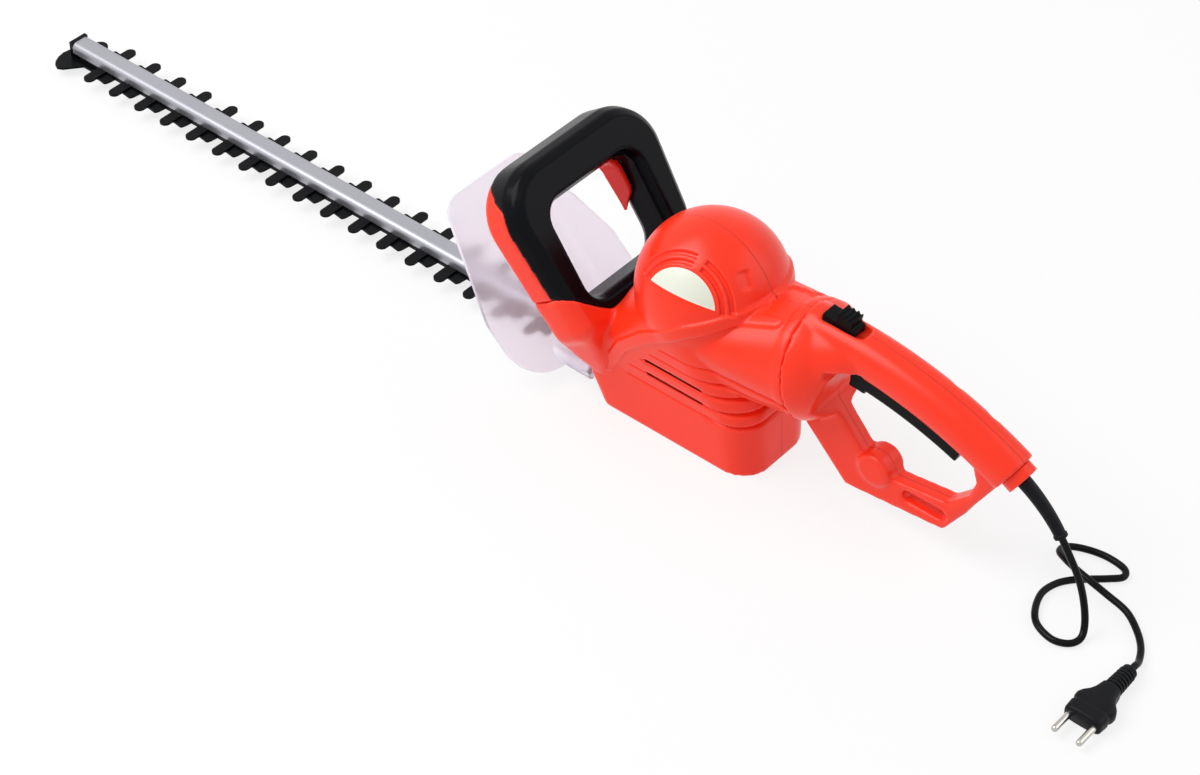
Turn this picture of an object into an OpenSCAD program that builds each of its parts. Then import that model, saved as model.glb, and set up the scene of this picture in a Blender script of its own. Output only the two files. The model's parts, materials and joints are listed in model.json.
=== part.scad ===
// Corded hedge trimmer. Blade towards -X, rear handle towards +X, +Z up, millimetres.
// The origin is on the flat face that the trimmer stands on, below the gearbox.

/* [Motor housing] */
// Radius of the round motor dome
dome_r = 55.5; // [54:0.5:58]
// Height of the dome's centre above the ground
dome_z = 126; // [123:1:129]
// Distance of the motor axis behind the origin
motor_x = 9; // [8:0.5:11]
// Wall of every moulded shell
wall = 2.6; // [2.2:0.1:3]
// Half width of the lower casing at the ground
foot_y = 38; // [37:0.5:40]
// Front end of the lower casing at the ground
foot_front = -62; // [-64:0.5:-61]
// Rear end of the lower casing at the ground
foot_rear = 76; // [74:0.5:78]
// Thickness of the cover under the gearbox
cover_t = 3; // [2.5:0.25:3.5]

/* [Swivel joint] */
// Outer radius of the neck at the swivel
neck_r = 43.5; // [42:0.5:45]
// Backward lean of the swivel axis, in degrees above level
neck_tilt = 10; // [8:0.5:12]
// Radius of the swivel spigot
spigot_r = 20; // [18:0.5:22]

/* [Rear handle] */
// Radius of the rounded front end of the rear handle
bulb_r = 46; // [45:0.5:47]
// Radius of the arc that the top of the grip follows
grip_arc = 337.5; // [330:0.5:345]
// Width of the grip across the hand
grip_w = 33; // [32:0.5:36]
// Height of the grip
grip_h = 30.5; // [29.5:0.5:32]
// Thickness of the lower frame of the handle
frame_t = 16; // [14:0.5:18]
// Width of the trigger
trigger_w = 17; // [15:0.5:18]
// Depth of the trigger below the grip
trigger_d = 12.5; // [10:0.5:13]

/* [Front handle] */
// Overall width of the front handle
loop_w = 154; // [148:1:158]
// Overall height of the front handle along its own plane
loop_h = 134; // [130:1:138]
// Width of the hand opening
loop_open_w = 91; // [86:1:94]
// Depth of the front handle from front face to rear face
loop_d = 40; // [38:0.5:42]
// Depth of its front half
loop_front_d = 25.5; // [24:0.5:27]
// Forward lean of the front handle, in degrees
loop_tilt = 36; // [34:0.5:38]

/* [Guard] */
// Thickness of the clear hand guard
guard_t = 3; // [2.5:0.25:3.5]
// Forward lean of the guard, in degrees
guard_tilt = 46.4; // [45:0.2:48]
// Half width of the guard at its widest
guard_y = 70.5; // [68:0.5:72]

/* [Blades] */
// Distance from one tooth to the next
pitch = 30; // [29:0.25:30.5]
// Number of long teeth along each side
teeth = 17; // [15:1:17]
// Reach of the long teeth from the centre line
finger_reach = 27.3; // [26:0.1:28]
// Reach of the short teeth from the centre line
step_reach = 18.3; // [17:0.1:19]
// Width of the strip that carries the teeth
strip_w = 17; // [16:0.25:18]
// Thickness of one blade
blade_t = 1.9; // [1.6:0.05:2]
// Travel of each blade to either side of its middle
stroke = 7; // [6:0.25:7.5]
// Width of the bar over the blades
bar_w = 17; // [16:0.25:18]
// Height of the bar over the blades
bar_h = 9; // [8.5:0.25:9.5]
// Radius of the shoulder of the blade bolts
bolt_r = 2.8; // [2.4:0.1:3]

/* [Drive] */
// Tooth size of the gears, pitch diameter over number of teeth
gear_module = 1; // [0.98:0.01:1.02]
// Teeth of the pinion
pinion_teeth = 9; // [9:1:10]
// Teeth of the large gear
gear_teeth = 54; // [52:1:54]
// Face width of the large gear
gear_b = 8; // [6:0.5:9]
// Radius of the eccentric cams
cam_r = 10; // [9.5:0.1:10.5]
// Radius of the armature shaft
shaft_r = 4; // [3.5:0.1:4]
// Outer radius of the stator
stator_r = 40; // [38:0.5:41]
// Radius of the armature
armature_r = 22; // [21:0.25:22.5]
// Length of the laminated cores
core_l = 46; // [42:1:48]

/* [Cord] */
// Radius of the mains cord
cord_r = 2.6; // [2.2:0.1:2.8]
// Distance between the two pins of the plug
pin_gap = 19; // [18.6:0.1:19.4]
// Radius of the pins of the plug
pin_r = 2.4; // [2:0.05:2.5]

/* [Hidden] */
$fn = 48;

// Gaps: sliding faces, running shafts, and pieces that pass one another
slide_gap = 0.1;
bore_gap = 0.05;
run_gap = 0.4;
lever_gap = 0.5;

// Heights of the blades, the bar and the gear case, from the ground up
blade_mid = 12;
lower_blade_z = blade_mid - slide_gap / 2 - blade_t;
upper_blade_z = blade_mid + slide_gap / 2;
bar_z = upper_blade_z + blade_t + slide_gap;
case_floor_z = bar_z + bar_h;
case_floor_t = 4;
cover_tongue_y = strip_w / 2 + 3;
gear_gap = 3;
gear_z = case_floor_z + case_floor_t + gear_gap;
case_roof_z = gear_z + gear_b + gear_gap;
bearing_r = 11;
bearing_b = 7;
case_roof_t = bearing_b + 2;
tower_z = case_roof_z + case_roof_t + 10;
fan_z = tower_z + 3;
fan_b = 12;
winding_l = 7;
core_z = fan_z + fan_b + winding_l + 2;
commutator_z = core_z + core_l + winding_l + 3;
commutator_l = 14;
commutator_r = 12;
brush_z = commutator_z + commutator_l / 2;
top_bearing_z = commutator_z + commutator_l + 4;
bracket_gap = 11.7;
bracket_t = 4;
bracket_r = dome_room(top_bearing_z + bracket_t / 2) - bracket_gap;
bearing_cup_r = bearing_r + 4;
wire_z = core_z + core_l - 2;
air_gap = 0.6;

// Radius of the room inside the dome at a height
function dome_room(z) = sqrt(pow(dome_r - wall, 2) - pow(z - dome_z, 2));

// Gears
gear_x = motor_x - gear_module * (pinion_teeth + gear_teeth) / 2;
tooth_up = 0.75 * gear_module;
tooth_down = 1.1 * gear_module;
gear_tip_r = gear_module * gear_teeth / 2 + tooth_up;
case_t = 3.5;
case_r = gear_tip_r + 1.2 + case_t;
tower_r = bearing_r + case_t;
gear_shaft_r = 5;
cam_reach = stroke + cam_r;

// Lower casing between the ground and the dome
mid_z = 50;
mid_front = foot_front - 22;
mid_rear = foot_rear - 3;
mid_y = foot_y + 4;
front_corner_r = 9;
rear_corner_r = 24;
belt_drop = 13;
belt_z = dome_z - belt_drop;
belt_r = sqrt(dome_r * dome_r - belt_drop * belt_drop) - 0.3;
lug_y = foot_y - 7;
lug_z = 17;

// Swivel joint
neck_x = foot_rear + 26;
neck_z = dome_z - 16;
neck_l = 52;
neck_ring_l = 7;
neck_root_r = neck_r - 4;
lip_t = 4;
spigot_t = 3.5;
flange_r = spigot_r + 6;
flange_t = 3;

// Front handle, in its own leaning frame: x to its rear face, z up along it
loop_x = -52.3;
loop_z = 60;
loop_foot = 14;
loop_top = loop_foot + loop_h;
loop_y = loop_w / 2;
loop_back = loop_d / 2 + 1;
loop_front = loop_back - loop_d;
loop_part = loop_front + loop_front_d;
lining_t = 2.6;
cradle_z = 27;
cradle_y = 36;
loop_open_foot = 38;
loop_open_top = loop_top - 34.5;
loop_split_z = loop_top - 23;
loop_open_y = loop_open_w / 2;
loop_taper = 8;
loop_top_r = 38;
loop_foot_r = 12;
loop_open_r = 14;

// Front lever
lever_travel = 4;
lever_t = 5;
lever_d = 19;
lever_top = loop_open_top + 2.5;
lever_foot = lever_top - 47;
lever_x = loop_front + 0.5;
lever_roof = lever_top + lever_travel + lever_gap;
tab_x = -13;
tab_y = 11;
tab_d = 8;
tab_top = lever_roof + 3;
switch_roof = loop_top - 5.5;

// Rear handle
bulb_x = neck_x - 12 * cos(neck_tilt);
bulb_z = neck_z - 12 * sin(neck_tilt);
arc_x = neck_x + 13.4;
arc_z = neck_z + 46 - grip_arc;
grip_end = 27.7;
grip_mid_r = grip_arc - grip_h / 2;
grip_low_r = grip_arc - grip_h;
frame_edge = [[95, 60], [136, 18], [219, 26], [262, 92], [262, 112], [140, 130], [104, 112],
    [110.8, 64.6]];
frame_gap = [[119, 90], [149, 56], [176, 46], [220, 52], [236, 68], [241, 84], [236, 100], [215, 125],
    [131, 130]];
knob_at = [160, 47];
knob_r = 13;
hook_slot = [202, 38];
slot_l = 36;
slot_h = 10;

// Trigger and its pivot, as angles and radii on the arc of the grip
trigger_front = 3.7;
trigger_rear = 21.4;
trigger_top_r = grip_low_r + 9;
pivot_a = 23.3;
pivot_r = grip_low_r + 10;
pin_radius = 2;
eye_r = 4.5;

// Slider that locks the swivel
lock_x = neck_x + 22;
lock_z = neck_z + 46.5;
lock_tilt = 6;
lock_l = 34;
lock_w = 13;
lock_depth = 6;
lock_travel = 6;
lock_block_h = 8;
lock_flat = 11;

// Outlet of the cord, the plug, and the cord's route over the ground
outlet_x = arc_x + (grip_mid_r + 1.5) * sin(grip_end);
outlet_z = arc_z + (grip_mid_r + 1.5) * cos(grip_end);
outlet_tilt = 30;
collar_r = 12;
collar_l = 8;
sleeve_r = 5.4;
sleeve_bend_r = 106;
sleeve_end = 55;
sleeve_cx = outlet_x + collar_l * cos(outlet_tilt) - sleeve_bend_r * sin(outlet_tilt);
sleeve_cz = outlet_z - collar_l * sin(outlet_tilt) - sleeve_bend_r * cos(outlet_tilt);
plug_x = 380.5;
plug_y = -40;
plug_h = 14;
plug_l = 35;
plug_w = 31;
plug_neck_l = 23;
pin_l = 19;
pin_z = plug_h / 2;
cord_start = [sleeve_cx + sleeve_bend_r * sin(sleeve_end), 0,
    sleeve_cz + sleeve_bend_r * cos(sleeve_end)] + 0.15 * [cos(sleeve_end), 0, -sin(sleeve_end)];
cord_route = concat([cord_start, cord_start + [6, 0, -9]], [
    [324, 0, 42], [331, -1, 24], [336, -5, 10], [338, -12, 4], [334, -20, 3], [323, -24, 3],
    [308, -19, 3], [299, -8, 3], [294, 7, 3], [296, 20, 3], [302, 30, 3], [311, 39, 3],
    [321, 48, 3], [328, 56, 3], [324, 63, 3], [309, 65, 3], [294, 62, 3], [283, 55, 4],
    [282, 46, 6], [292, 39, 9], [303, 35, 10], [315, 33, 9], [330, 32, 6], [348, 29, 4],
    [363, 19, 3], [373, 8, 3], [379, -4, 4], [plug_x, -12, 7], [plug_x, plug_y + plug_neck_l, pin_z]]);

// Turned points, and angles along an involute tooth flank
function turn(p, a) = [p[0] * cos(a) - p[1] * sin(a), p[0] * sin(a) + p[1] * cos(a)];
function roll_angle(base_r, r) = sqrt(max(pow(r / base_r, 2) - 1, 0)) * 180 / PI;
function flank_angle(base_r, r) = roll_angle(base_r, r) - acos(min(base_r / r, 1));

// One side of a gear tooth from its root to its tip
function flank(count, side) =
    let (
        pitch_r = gear_module * count / 2,
        base_r = pitch_r * cos(25),
        root_r = pitch_r - tooth_down,
        tip_r = pitch_r + tooth_up,
        half = 90 / count - 0.06 / pitch_r * 180 / PI + flank_angle(base_r, pitch_r),
        start_r = max(base_r, root_r),
        steps = 5)
    concat(
        root_r < base_r ? [turn([root_r, 0], side * half)] : [],
        [for (i = [0:steps])
            let (r = start_r + (tip_r - start_r) * i / steps)
            turn([r, 0], side * (half - flank_angle(base_r, r)))]);
function backwards(list) = [for (i = [len(list) - 1:-1:0]) list[i]];
function tooth(count) = concat(flank(count, -1), backwards(flank(count, 1)));
function gear_outline(count) = [for (k = [0:count - 1]) for (p = tooth(count)) turn(p, 360 * k / count)];

// Points of a smooth curve through a route, and rings of a tube around it
function route_at(route, i) = route[min(max(i, 0), len(route) - 1)];
function smooth_point(route, i, t) =
    let (a = route_at(route, i - 1), b = route_at(route, i), c = route_at(route, i + 1),
        d = route_at(route, i + 2))
    (2 * b + (c - a) * t + (2 * a - 5 * b + 4 * c - d) * t * t
        + (3 * b - a - 3 * c + d) * t * t * t) / 2;
function smooth_route(route, parts) = concat(
    [for (i = [0:len(route) - 2]) for (k = [0:parts - 1]) smooth_point(route, i, k / parts)],
    [route[len(route) - 1]]);
function unit(v) = v / norm(v);
function heading(line, i) = unit(line[min(i + 1, len(line) - 1)] - line[max(i - 1, 0)]);
function ring(centre, along, radius, sides) =
    let (across = unit(cross(along, [0.01, 0.02, 1])), up = cross(across, along))
    [for (k = [0:sides - 1])
        centre + radius * (cos(360 * k / sides) * across + sin(360 * k / sides) * up)];

// Outline moved inward by a distance, its points running clockwise or anticlockwise
function side_normal(a, b) = [b[1] - a[1], a[0] - b[0]] / norm(b - a);
function shrink(points, d) =
    let (n = len(points))
    [for (i = [0:n - 1])
        let (
            before = side_normal(points[(i + n - 1) % n], points[i]),
            after = side_normal(points[i], points[(i + 1) % n]))
        points[i] - d * (before + after) / (1 + before * after)];

module tube(line, radius, sides) {
    rings = [for (i = [0:len(line) - 1]) ring(line[i], heading(line, i), radius, sides)];
    points = [for (r = rings) for (p = r) p];
    last = len(line) - 1;
    walls = [for (i = [0:last - 1]) for (k = [0:sides - 1]) for (half = [0, 1])
        let (a = i * sides + k, b = i * sides + (k + 1) % sides)
        half == 0 ? [a, b, b + sides] : [a, b + sides, a + sides]];
    caps = [for (k = [1:sides - 2]) for (end = [0, 1])
        end == 0 ? [0, k + 1, k] : [last * sides, last * sides + k, last * sides + k + 1]];
    polyhedron(points = points, faces = concat(walls, caps));
}

// Frames of the leaning parts
module on_neck() {
    translate([neck_x, 0, neck_z]) rotate([0, 90 - neck_tilt, 0]) children();
}
module on_loop() {
    translate([loop_x, 0, loop_z]) rotate([0, -loop_tilt, 0]) children();
}
module on_guard() {
    translate([foot_front - 30, 0, 0]) rotate([0, -guard_tilt, 0]) children();
}
// Part of a ring about an axis across the trimmer, angles measured from straight up
module sweep_about(x, z, from, to) {
    translate([x, 0, z]) rotate([90, 0, 0]) rotate([0, 0, 90 - to])
        rotate_extrude(angle = to - from, $fn = 180) children();
}
module on_lock() {
    translate([lock_x, 0, lock_z]) rotate([0, lock_tilt, 0]) children();
}
module on_outlet() {
    translate([outlet_x, 0, outlet_z]) rotate([0, 90 + outlet_tilt, 0]) children();
}
// Place on the arc of the grip: x away from the arc's centre, y across, z forward
module on_arc(a, r) {
    translate([arc_x + r * sin(a), 0, arc_z + r * cos(a)]) rotate([0, a - 90, 0]) children();
}
// Stands a flat outline (across, up) in the plane of the front handle or the guard
module stand(from, to) {
    translate([from, 0, 0]) rotate([90, 0, 90]) linear_extrude(to - from) children();
}
// Lays a flat outline (x, z) along the width of the trimmer
module across(half) {
    translate([0, half, 0]) rotate([90, 0, 0]) linear_extrude(2 * half) children();
}
module half_space(side) {
    translate([-500, side < 0 ? -500 : 0, -200]) cube([1200, 500, 700]);
}
module rounded_rect(x0, x1, y0, y1, r) {
    translate([x0 + r, y0]) square([x1 - x0 - 2 * r, y1 - y0]);
    translate([x0, y0 + r]) square([x1 - x0, y1 - y0 - 2 * r]);
    for (x = [x0 + r, x1 - r]) for (y = [y0 + r, y1 - r]) translate([x, y]) circle(r);
}
module box(x0, x1, half_y, z0, z1) {
    translate([x0, -half_y, z0]) cube([x1 - x0, 2 * half_y, z1 - z0]);
}
module slot2d(x0, x1, half) {
    translate([x0 + half, -half]) square([x1 - x0 - 2 * half, 2 * half]);
    for (x = [x0 + half, x1 - half]) translate([x, 0]) circle(half);
}
module screw(head_r, head_l, shank_r, shank_l) {
    difference() {
        cylinder(r = head_r, h = head_l);
        translate([0, 0, head_l - 1]) cube([5, 1, 2.2], center = true);
        translate([0, 0, head_l - 1]) cube([1, 5, 2.2], center = true);
    }
    translate([0, 0, -shank_l]) cylinder(r = shank_r, h = shank_l + 0.1);
}

// Shell of the motor housing; inset gives its inside
module casing_posts(front, rear, half, z, inset) {
    for (side = [-1, 1]) {
        translate([front + front_corner_r, side * (half - front_corner_r), z])
            cylinder(r = front_corner_r - inset, h = 0.1, $fn = 32);
        translate([rear - rear_corner_r, side * (half - rear_corner_r), z])
            cylinder(r = rear_corner_r - inset, h = 0.1, $fn = 32);
    }
}
module casing(inset) {
    hull() {
        casing_posts(foot_front, foot_rear, foot_y, inset > 0 ? -1 : 0, inset);
        casing_posts(mid_front, mid_rear, mid_y, mid_z, inset);
    }
    hull() {
        casing_posts(mid_front, mid_rear, mid_y, mid_z, inset);
        translate([motor_x, 0, belt_z]) cylinder(r = belt_r - inset, h = 0.1, $fn = 64);
    }
    translate([motor_x, 0, dome_z]) sphere(r = dome_r - inset, $fn = 64);
}
module neck_hollow() {
    on_neck() translate([0, 0, -neck_l])
        cylinder(r1 = neck_root_r - wall, r2 = neck_r - wall, h = neck_l - lip_t);
}
// Shoulder that joins the neck to the sides of the casing
module neck_shoulder() {
    on_neck() translate([0, 0, -neck_ring_l]) cylinder(r = neck_r, h = neck_ring_l);
    hull() {
        on_neck() translate([0, 0, -neck_ring_l]) cylinder(r = neck_r - 0.8, h = 3, $fn = 64);
        translate([motor_x, 0, belt_z - 4]) cylinder(r = belt_r - 3, h = 4, $fn = 64);
        translate([motor_x + 14, 0, mid_z + 22]) cylinder(r = mid_y - 4, h = 4, $fn = 48);
    }
}
// Nose that carries the front handle, solid between the casing and the handle's seat
module nose() {
    hull() {
        on_loop() box(loop_front + 1, loop_back - 2, loop_y - loop_taper - 2, loop_foot + 10, loop_foot + 11);
        for (side = [-1, 1]) translate([mid_front + 21, side * (mid_y - 12), mid_z - 18])
            cylinder(r = 12, h = 2, $fn = 32);
    }
    on_loop() intersection() {
        loop_blank(0);
        stand(-60, 60) cradle(0);
    }
}
// Room that the front handle takes above its seat, ahead of its rear face
module handle_room(grow) {
    on_loop() difference() {
        box(-60, loop_back + grow, 100, cradle_z - grow, 160);
        stand(-60, 60) cradle(-grow);
    }
}
housing_bosses = [[foot_front - 8, mid_z - 10], [foot_rear - 14, mid_z - 26],
    [motor_x - dome_r + 22, dome_z + 36], [neck_x - 18, neck_z + neck_r - 13],
    [neck_x - 16, neck_z - neck_r + 10]];
cover_screws = [[foot_front + 8, foot_y - 6.5], [foot_rear - rear_corner_r - 2, foot_y - 6.5]];
screw_seat = 12;

module gear_case_outline() {
    translate([gear_x, 0]) circle(r = case_r);
    translate([motor_x, 0]) circle(r = tower_r);
}
module housing_supports() {
    for (z = [core_z + 4, core_z + core_l - 7])
        translate([motor_x, 0, z]) linear_extrude(3) difference() {
            circle(r = dome_r + 3);
            circle(r = stator_r);
        }
    translate([motor_x, 0, top_bearing_z]) linear_extrude(4) difference() {
        circle(r = dome_r);
        circle(r = bracket_r);
    }
    translate([0, 0, case_roof_z + 2]) linear_extrude(4) difference() {
        translate([foot_front - 20, -80]) square([mid_rear - foot_front + 20, 160]);
        gear_case_outline();
    }
    for (p = housing_bosses)
        translate([p[0], 0, p[1]]) rotate([90, 0, 0]) cylinder(r = 4.5, h = 160, center = true);
    for (side = [-1, 1]) {
        translate([foot_front - 12, side * lug_y, lug_z]) rotate([0, 90, 0]) cylinder(r = 4.5, h = 18);
        for (p = cover_screws)
            translate([p[0], side * p[1], cover_t]) cylinder(r = 4.5, h = 9);
    }
}
module label_prism(r) {
    translate([motor_x, 0, dome_z]) rotate([0, 61, -80]) rotate([0, 0, -5]) linear_extrude(80)
        translate([10, 0]) difference() {
            circle(r = r);
            translate([-8 + r - label_r, -40]) square([60, 80]);
        }
}
label_t = 0.8;
label_r = 27;
vent_rows = [belt_z - 41, belt_z - 54];
module housing_cuts() {
    for (z = vent_rows) translate([0, 0, z]) across(90) slot2d(motor_x - 24, motor_x + 28, 1.5);
    box(mid_front - 10, foot_front + 14, cover_tongue_y + 0.5, lower_blade_z - 1,
        case_floor_z + case_floor_t + 3.2);
    on_neck() translate([0, 0, -lip_t - 1]) cylinder(r = spigot_r + bore_gap, h = lip_t + 2);
    for (p = housing_bosses) translate([p[0], 0, p[1]]) rotate([-90, 0, 0]) {
        translate([0, 0, -screw_seat - 4]) cylinder(r = 1.9, h = 2 * screw_seat + 4);
        translate([0, 0, screw_seat]) cylinder(r = 4, h = 90);
    }
    for (side = [-1, 1]) {
        translate([foot_front - 20, side * lug_y, lug_z]) rotate([0, 90, 0]) cylinder(r = 1.6, h = 24);
        for (p = cover_screws) translate([p[0], side * p[1], -1]) cylinder(r = 1.6, h = 11);
    }
    intersection() {
        label_prism(label_r + 0.2);
        translate([motor_x, 0, dome_z]) difference() {
            sphere(r = dome_r + 5, $fn = 64);
            sphere(r = dome_r - label_t, $fn = 64);
        }
    }
}
module housing_half(side) {
    intersection() {
        half_space(side);
        difference() {
            union() {
                casing(0);
                neck_shoulder();
                nose();
            }
            difference() {
                union() {
                    casing(wall);
                    neck_hollow();
                }
                housing_supports();
                handle_room(wall);
            }
            handle_room(0);
            housing_cuts();
        }
    }
}
module housing_left() {
    color("#f2452c") housing_half(-1);
}
module housing_right() {
    color("#e63d25") housing_half(1);
}
module cover_outline() {
    front = foot_front + wall + 0.4;
    rear = foot_rear - wall - 0.4;
    half = foot_y - wall - 0.3;
    front_r = front_corner_r - wall;
    rear_r = rear_corner_r - wall;
    translate([front + front_r, -half]) square([rear - front - front_r - rear_r, 2 * half]);
    translate([front, front_r - half]) square([front_r + 1, 2 * (half - front_r)]);
    translate([rear - rear_r - 1, rear_r - half]) square([rear_r + 1, 2 * (half - rear_r)]);
    for (side = [-1, 1]) {
        translate([front + front_r, side * (half - front_r)]) circle(front_r);
        translate([rear - rear_r, side * (half - rear_r)]) circle(rear_r);
    }
}
module bottom_cover() {
    color("#2a2b2e") difference() {
        linear_extrude(cover_t) cover_outline();
        for (side = [-1, 1]) for (p = cover_screws) translate([p[0], side * p[1], -1]) {
            cylinder(r = 1.6, h = 10);
            cylinder(r = 3.4, h = 2.2);
        }
    }
}
module bottom_cover_screws() {
    color("silver") for (side = [-1, 1]) for (p = cover_screws)
        translate([p[0], side * p[1], 1.2]) rotate([180, 0, 0]) screw(3.2, 1, 1.6, 8);
}
module housing_screws() {
    color("silver") for (p = housing_bosses)
        translate([p[0], screw_seat, p[1]]) rotate([-90, 0, 0]) screw(3.5, 2.6, 1.9, 2 * screw_seat + 2);
}
module label_plate() {
    color("#e9ede2") intersection() {
        label_prism(label_r);
        translate([motor_x, 0, dome_z]) difference() {
            sphere(r = dome_r, $fn = 64);
            sphere(r = dome_r - label_t, $fn = 64);
        }
    }
}

// Front handle: a rounded blank, a hand opening with rounded edges, and two shells
module loop_slab(front, rear, inset) {
    high = loop_top - inset;
    top_r = loop_top_r - inset;
    foot_r = max(loop_foot_r - inset, 1);
    for (side = [-1, 1]) {
        translate([front, side * (loop_y - inset - top_r), high - top_r])
            rotate([0, 90, 0]) cylinder(r = top_r, h = rear - front, $fn = 48);
        translate([front, side * (loop_y - loop_taper - inset - foot_r), loop_foot + inset + foot_r])
            rotate([0, 90, 0]) cylinder(r = foot_r, h = rear - front, $fn = 24);
    }
}
module loop_blank(inset) {
    hull() {
        loop_slab(loop_front + inset, loop_back - inset, inset + 9);
        loop_slab(loop_front + inset + 2, loop_back - inset - 5, inset + 3);
        loop_slab(loop_front + inset + 7, loop_back - inset - 13, inset);
    }
}
module opening_slab(from, to, grow) {
    for (y = [loop_open_y - loop_open_r, loop_open_r - loop_open_y])
        for (z = [loop_open_foot + loop_open_r, loop_open_top - loop_open_r])
            translate([from, y, z]) rotate([0, 90, 0])
                cylinder(r = loop_open_r + grow, h = to - from, $fn = 48);
}
module plain_hole(grow) {
    stand(-60, 60) rounded_rect(-loop_open_y - grow, loop_open_y + grow, loop_open_foot - grow,
        loop_open_top + grow, loop_open_r + grow);
    stand(-60, lever_x + lever_d + lever_gap + grow) rounded_rect(-loop_open_y - grow,
        loop_open_y + grow, loop_open_foot - grow, lever_roof + grow, loop_open_r + grow);
}
flare = 4.5;
flare_depth = 8;
module loop_hole(grow) {
    plain_hole(grow);
    hull() {
        opening_slab(loop_back, loop_back + 5, grow + flare);
        opening_slab(loop_back - flare_depth, loop_back + 5, grow);
    }
    hull() {
        opening_slab(loop_front - 5, loop_front, grow + flare);
        opening_slab(loop_front - 5, loop_front + flare_depth, grow);
    }
}
// What belongs to the front shell: ahead of the split, which runs forward over the top
module front_zone(back) {
    across(100) polygon([[-60, -20], [loop_part + back, -20], [loop_part + back, loop_split_z],
        [-60, loop_split_z + 0.9 * (loop_part + back + 60)]]);
}
// Outline of the seat that carries the front handle
module cradle(grow) {
    rise = 0.8 * (90 - cradle_y);
    polygon([[-90, cradle_z + rise + grow], [-cradle_y, cradle_z + grow], [cradle_y, cradle_z + grow],
        [90, cradle_z + rise + grow], [90, -60], [-90, -60]]);
}
loop_bosses = [for (side = [-1, 1]) for (z = [loop_open_foot + 22, loop_open_top - 4])
    [side * (loop_open_y + 14), z]];
module each_loop_boss(x) {
    for (p = loop_bosses) translate([x, p[0], p[1]]) rotate([0, 90, 0]) children();
}
module lever_window() {
    box(tab_x - lever_gap, tab_x + tab_d + lever_gap, tab_y + lever_gap,
        lever_roof - 1, lever_roof + lining_t + wall + flare);
}
module front_handle_rear_shell() {
    color("#17181c") on_loop() difference() {
        intersection() {
            loop_blank(0);
            union() {
                difference() {
                    box(-60, 60, 100, -10, 200);
                    front_zone(0);
                }
                loop_hole(lining_t);
            }
        }
        loop_hole(0);
        stand(-60, 60) cradle(0);
        difference() {
            loop_blank(wall);
            front_zone(-1);
            plain_hole(wall + flare / 2);
            stand(-60, 60) cradle(wall);
            each_loop_boss(0) cylinder(r = 4.5, h = 60);
        }
        lever_window();
        each_loop_boss(loop_part - 1) cylinder(r = 1.6, h = 10);
    }
}
module front_handle_front_shell() {
    color("#e8412a") on_loop() difference() {
        intersection() {
            loop_blank(0);
            front_zone(0);
        }
        loop_hole(lining_t);
        stand(-60, 60) cradle(0);
        difference() {
            loop_blank(wall);
            plain_hole(lining_t + wall + flare / 2);
            stand(-60, 60) cradle(wall);
            each_loop_boss(-30) cylinder(r = 4.5, h = 60);
        }
        lever_window();
        each_loop_boss(loop_front - 1) {
            cylinder(r = 1.6, h = 40);
            cylinder(r = 3.7, h = 7);
        }
    }
}
module front_handle_screws() {
    color("silver") on_loop() each_loop_boss(loop_front + 6) rotate([180, 0, 0])
        screw(3.4, 2.4, 1.6, loop_front_d + 2);
}
module front_lever() {
    side_y = loop_open_y - lever_gap;
    rear = lever_x + lever_d;
    color("#d8301c") on_loop() {
        intersection() {
            stand(lever_x, rear) difference() {
                rounded_rect(-side_y, side_y, lever_foot, lever_top, loop_open_r - 1);
                rounded_rect(3 - side_y, side_y - 3, lever_foot - 30, lever_top - lever_t,
                    loop_open_r - 4);
            }
            across(80) polygon([[lever_x, lever_foot], [rear - 8, lever_foot + 6],
                [rear - 1, lever_foot + 16], [rear, lever_foot + 28], [rear, lever_top],
                [lever_x, lever_top]]);
        }
        box(tab_x, tab_x + tab_d, tab_y, lever_top - 1, tab_top);
    }
}
module lever_springs() {
    spring_foot = tab_top + lever_travel + run_gap;
    color("silver") on_loop() for (side = [-1, 1])
        translate([tab_x + tab_d / 2, side * (tab_y - 2.8), spring_foot]) difference() {
            cylinder(r = 2.6, h = switch_roof - spring_foot);
            translate([0, 0, -1]) cylinder(r = 1.9, h = 40);
        }
}
module front_switch() {
    foot = tab_top + lever_travel + run_gap;
    color("#3a3c42") on_loop() {
        box(tab_x, tab_x + tab_d, 5, foot + 1, switch_roof);
        box(tab_x + 3, tab_x + 5, 2, foot, foot + 2);
    }
}

// Clear guard in front of the front handle
guard_foot_z = 9;
guard_top_z = 111;
module hand_guard() {
    deg_up = 1 / cos(guard_tilt);
    foot = guard_foot_z * deg_up;
    top = guard_top_z * deg_up;
    color("#e3d8e2", 0.6) {
        difference() {
            on_guard() stand(0, guard_t) difference() {
                hull() {
                    for (side = [-1, 1]) {
                        translate([side * (guard_y - 36), foot + 36]) circle(36);
                        translate([side * (guard_y - 24), foot + 54]) circle(24);
                        translate([side * (guard_y - 42), top - 20]) circle(20);
                    }
                }
                translate([-strip_w / 2 - 5, 0]) square([strip_w + 10, (bar_z + bar_h + 2) * deg_up]);
            }
            guard_lugs(6, 37, 3.6);
        }
        difference() {
            guard_lugs(6, 40, 6);
            guard_lugs(8, 60, 1.7);
            guard_lugs(8, 39, 3.6);
            guard_trim();
        }
    }
}
module guard_lugs(front, length, r) {
    for (side = [-1, 1]) translate([foot_front - 46 - front, side * lug_y, lug_z])
        rotate([0, 90, 0]) cylinder(r = r, h = length);
}
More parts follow.
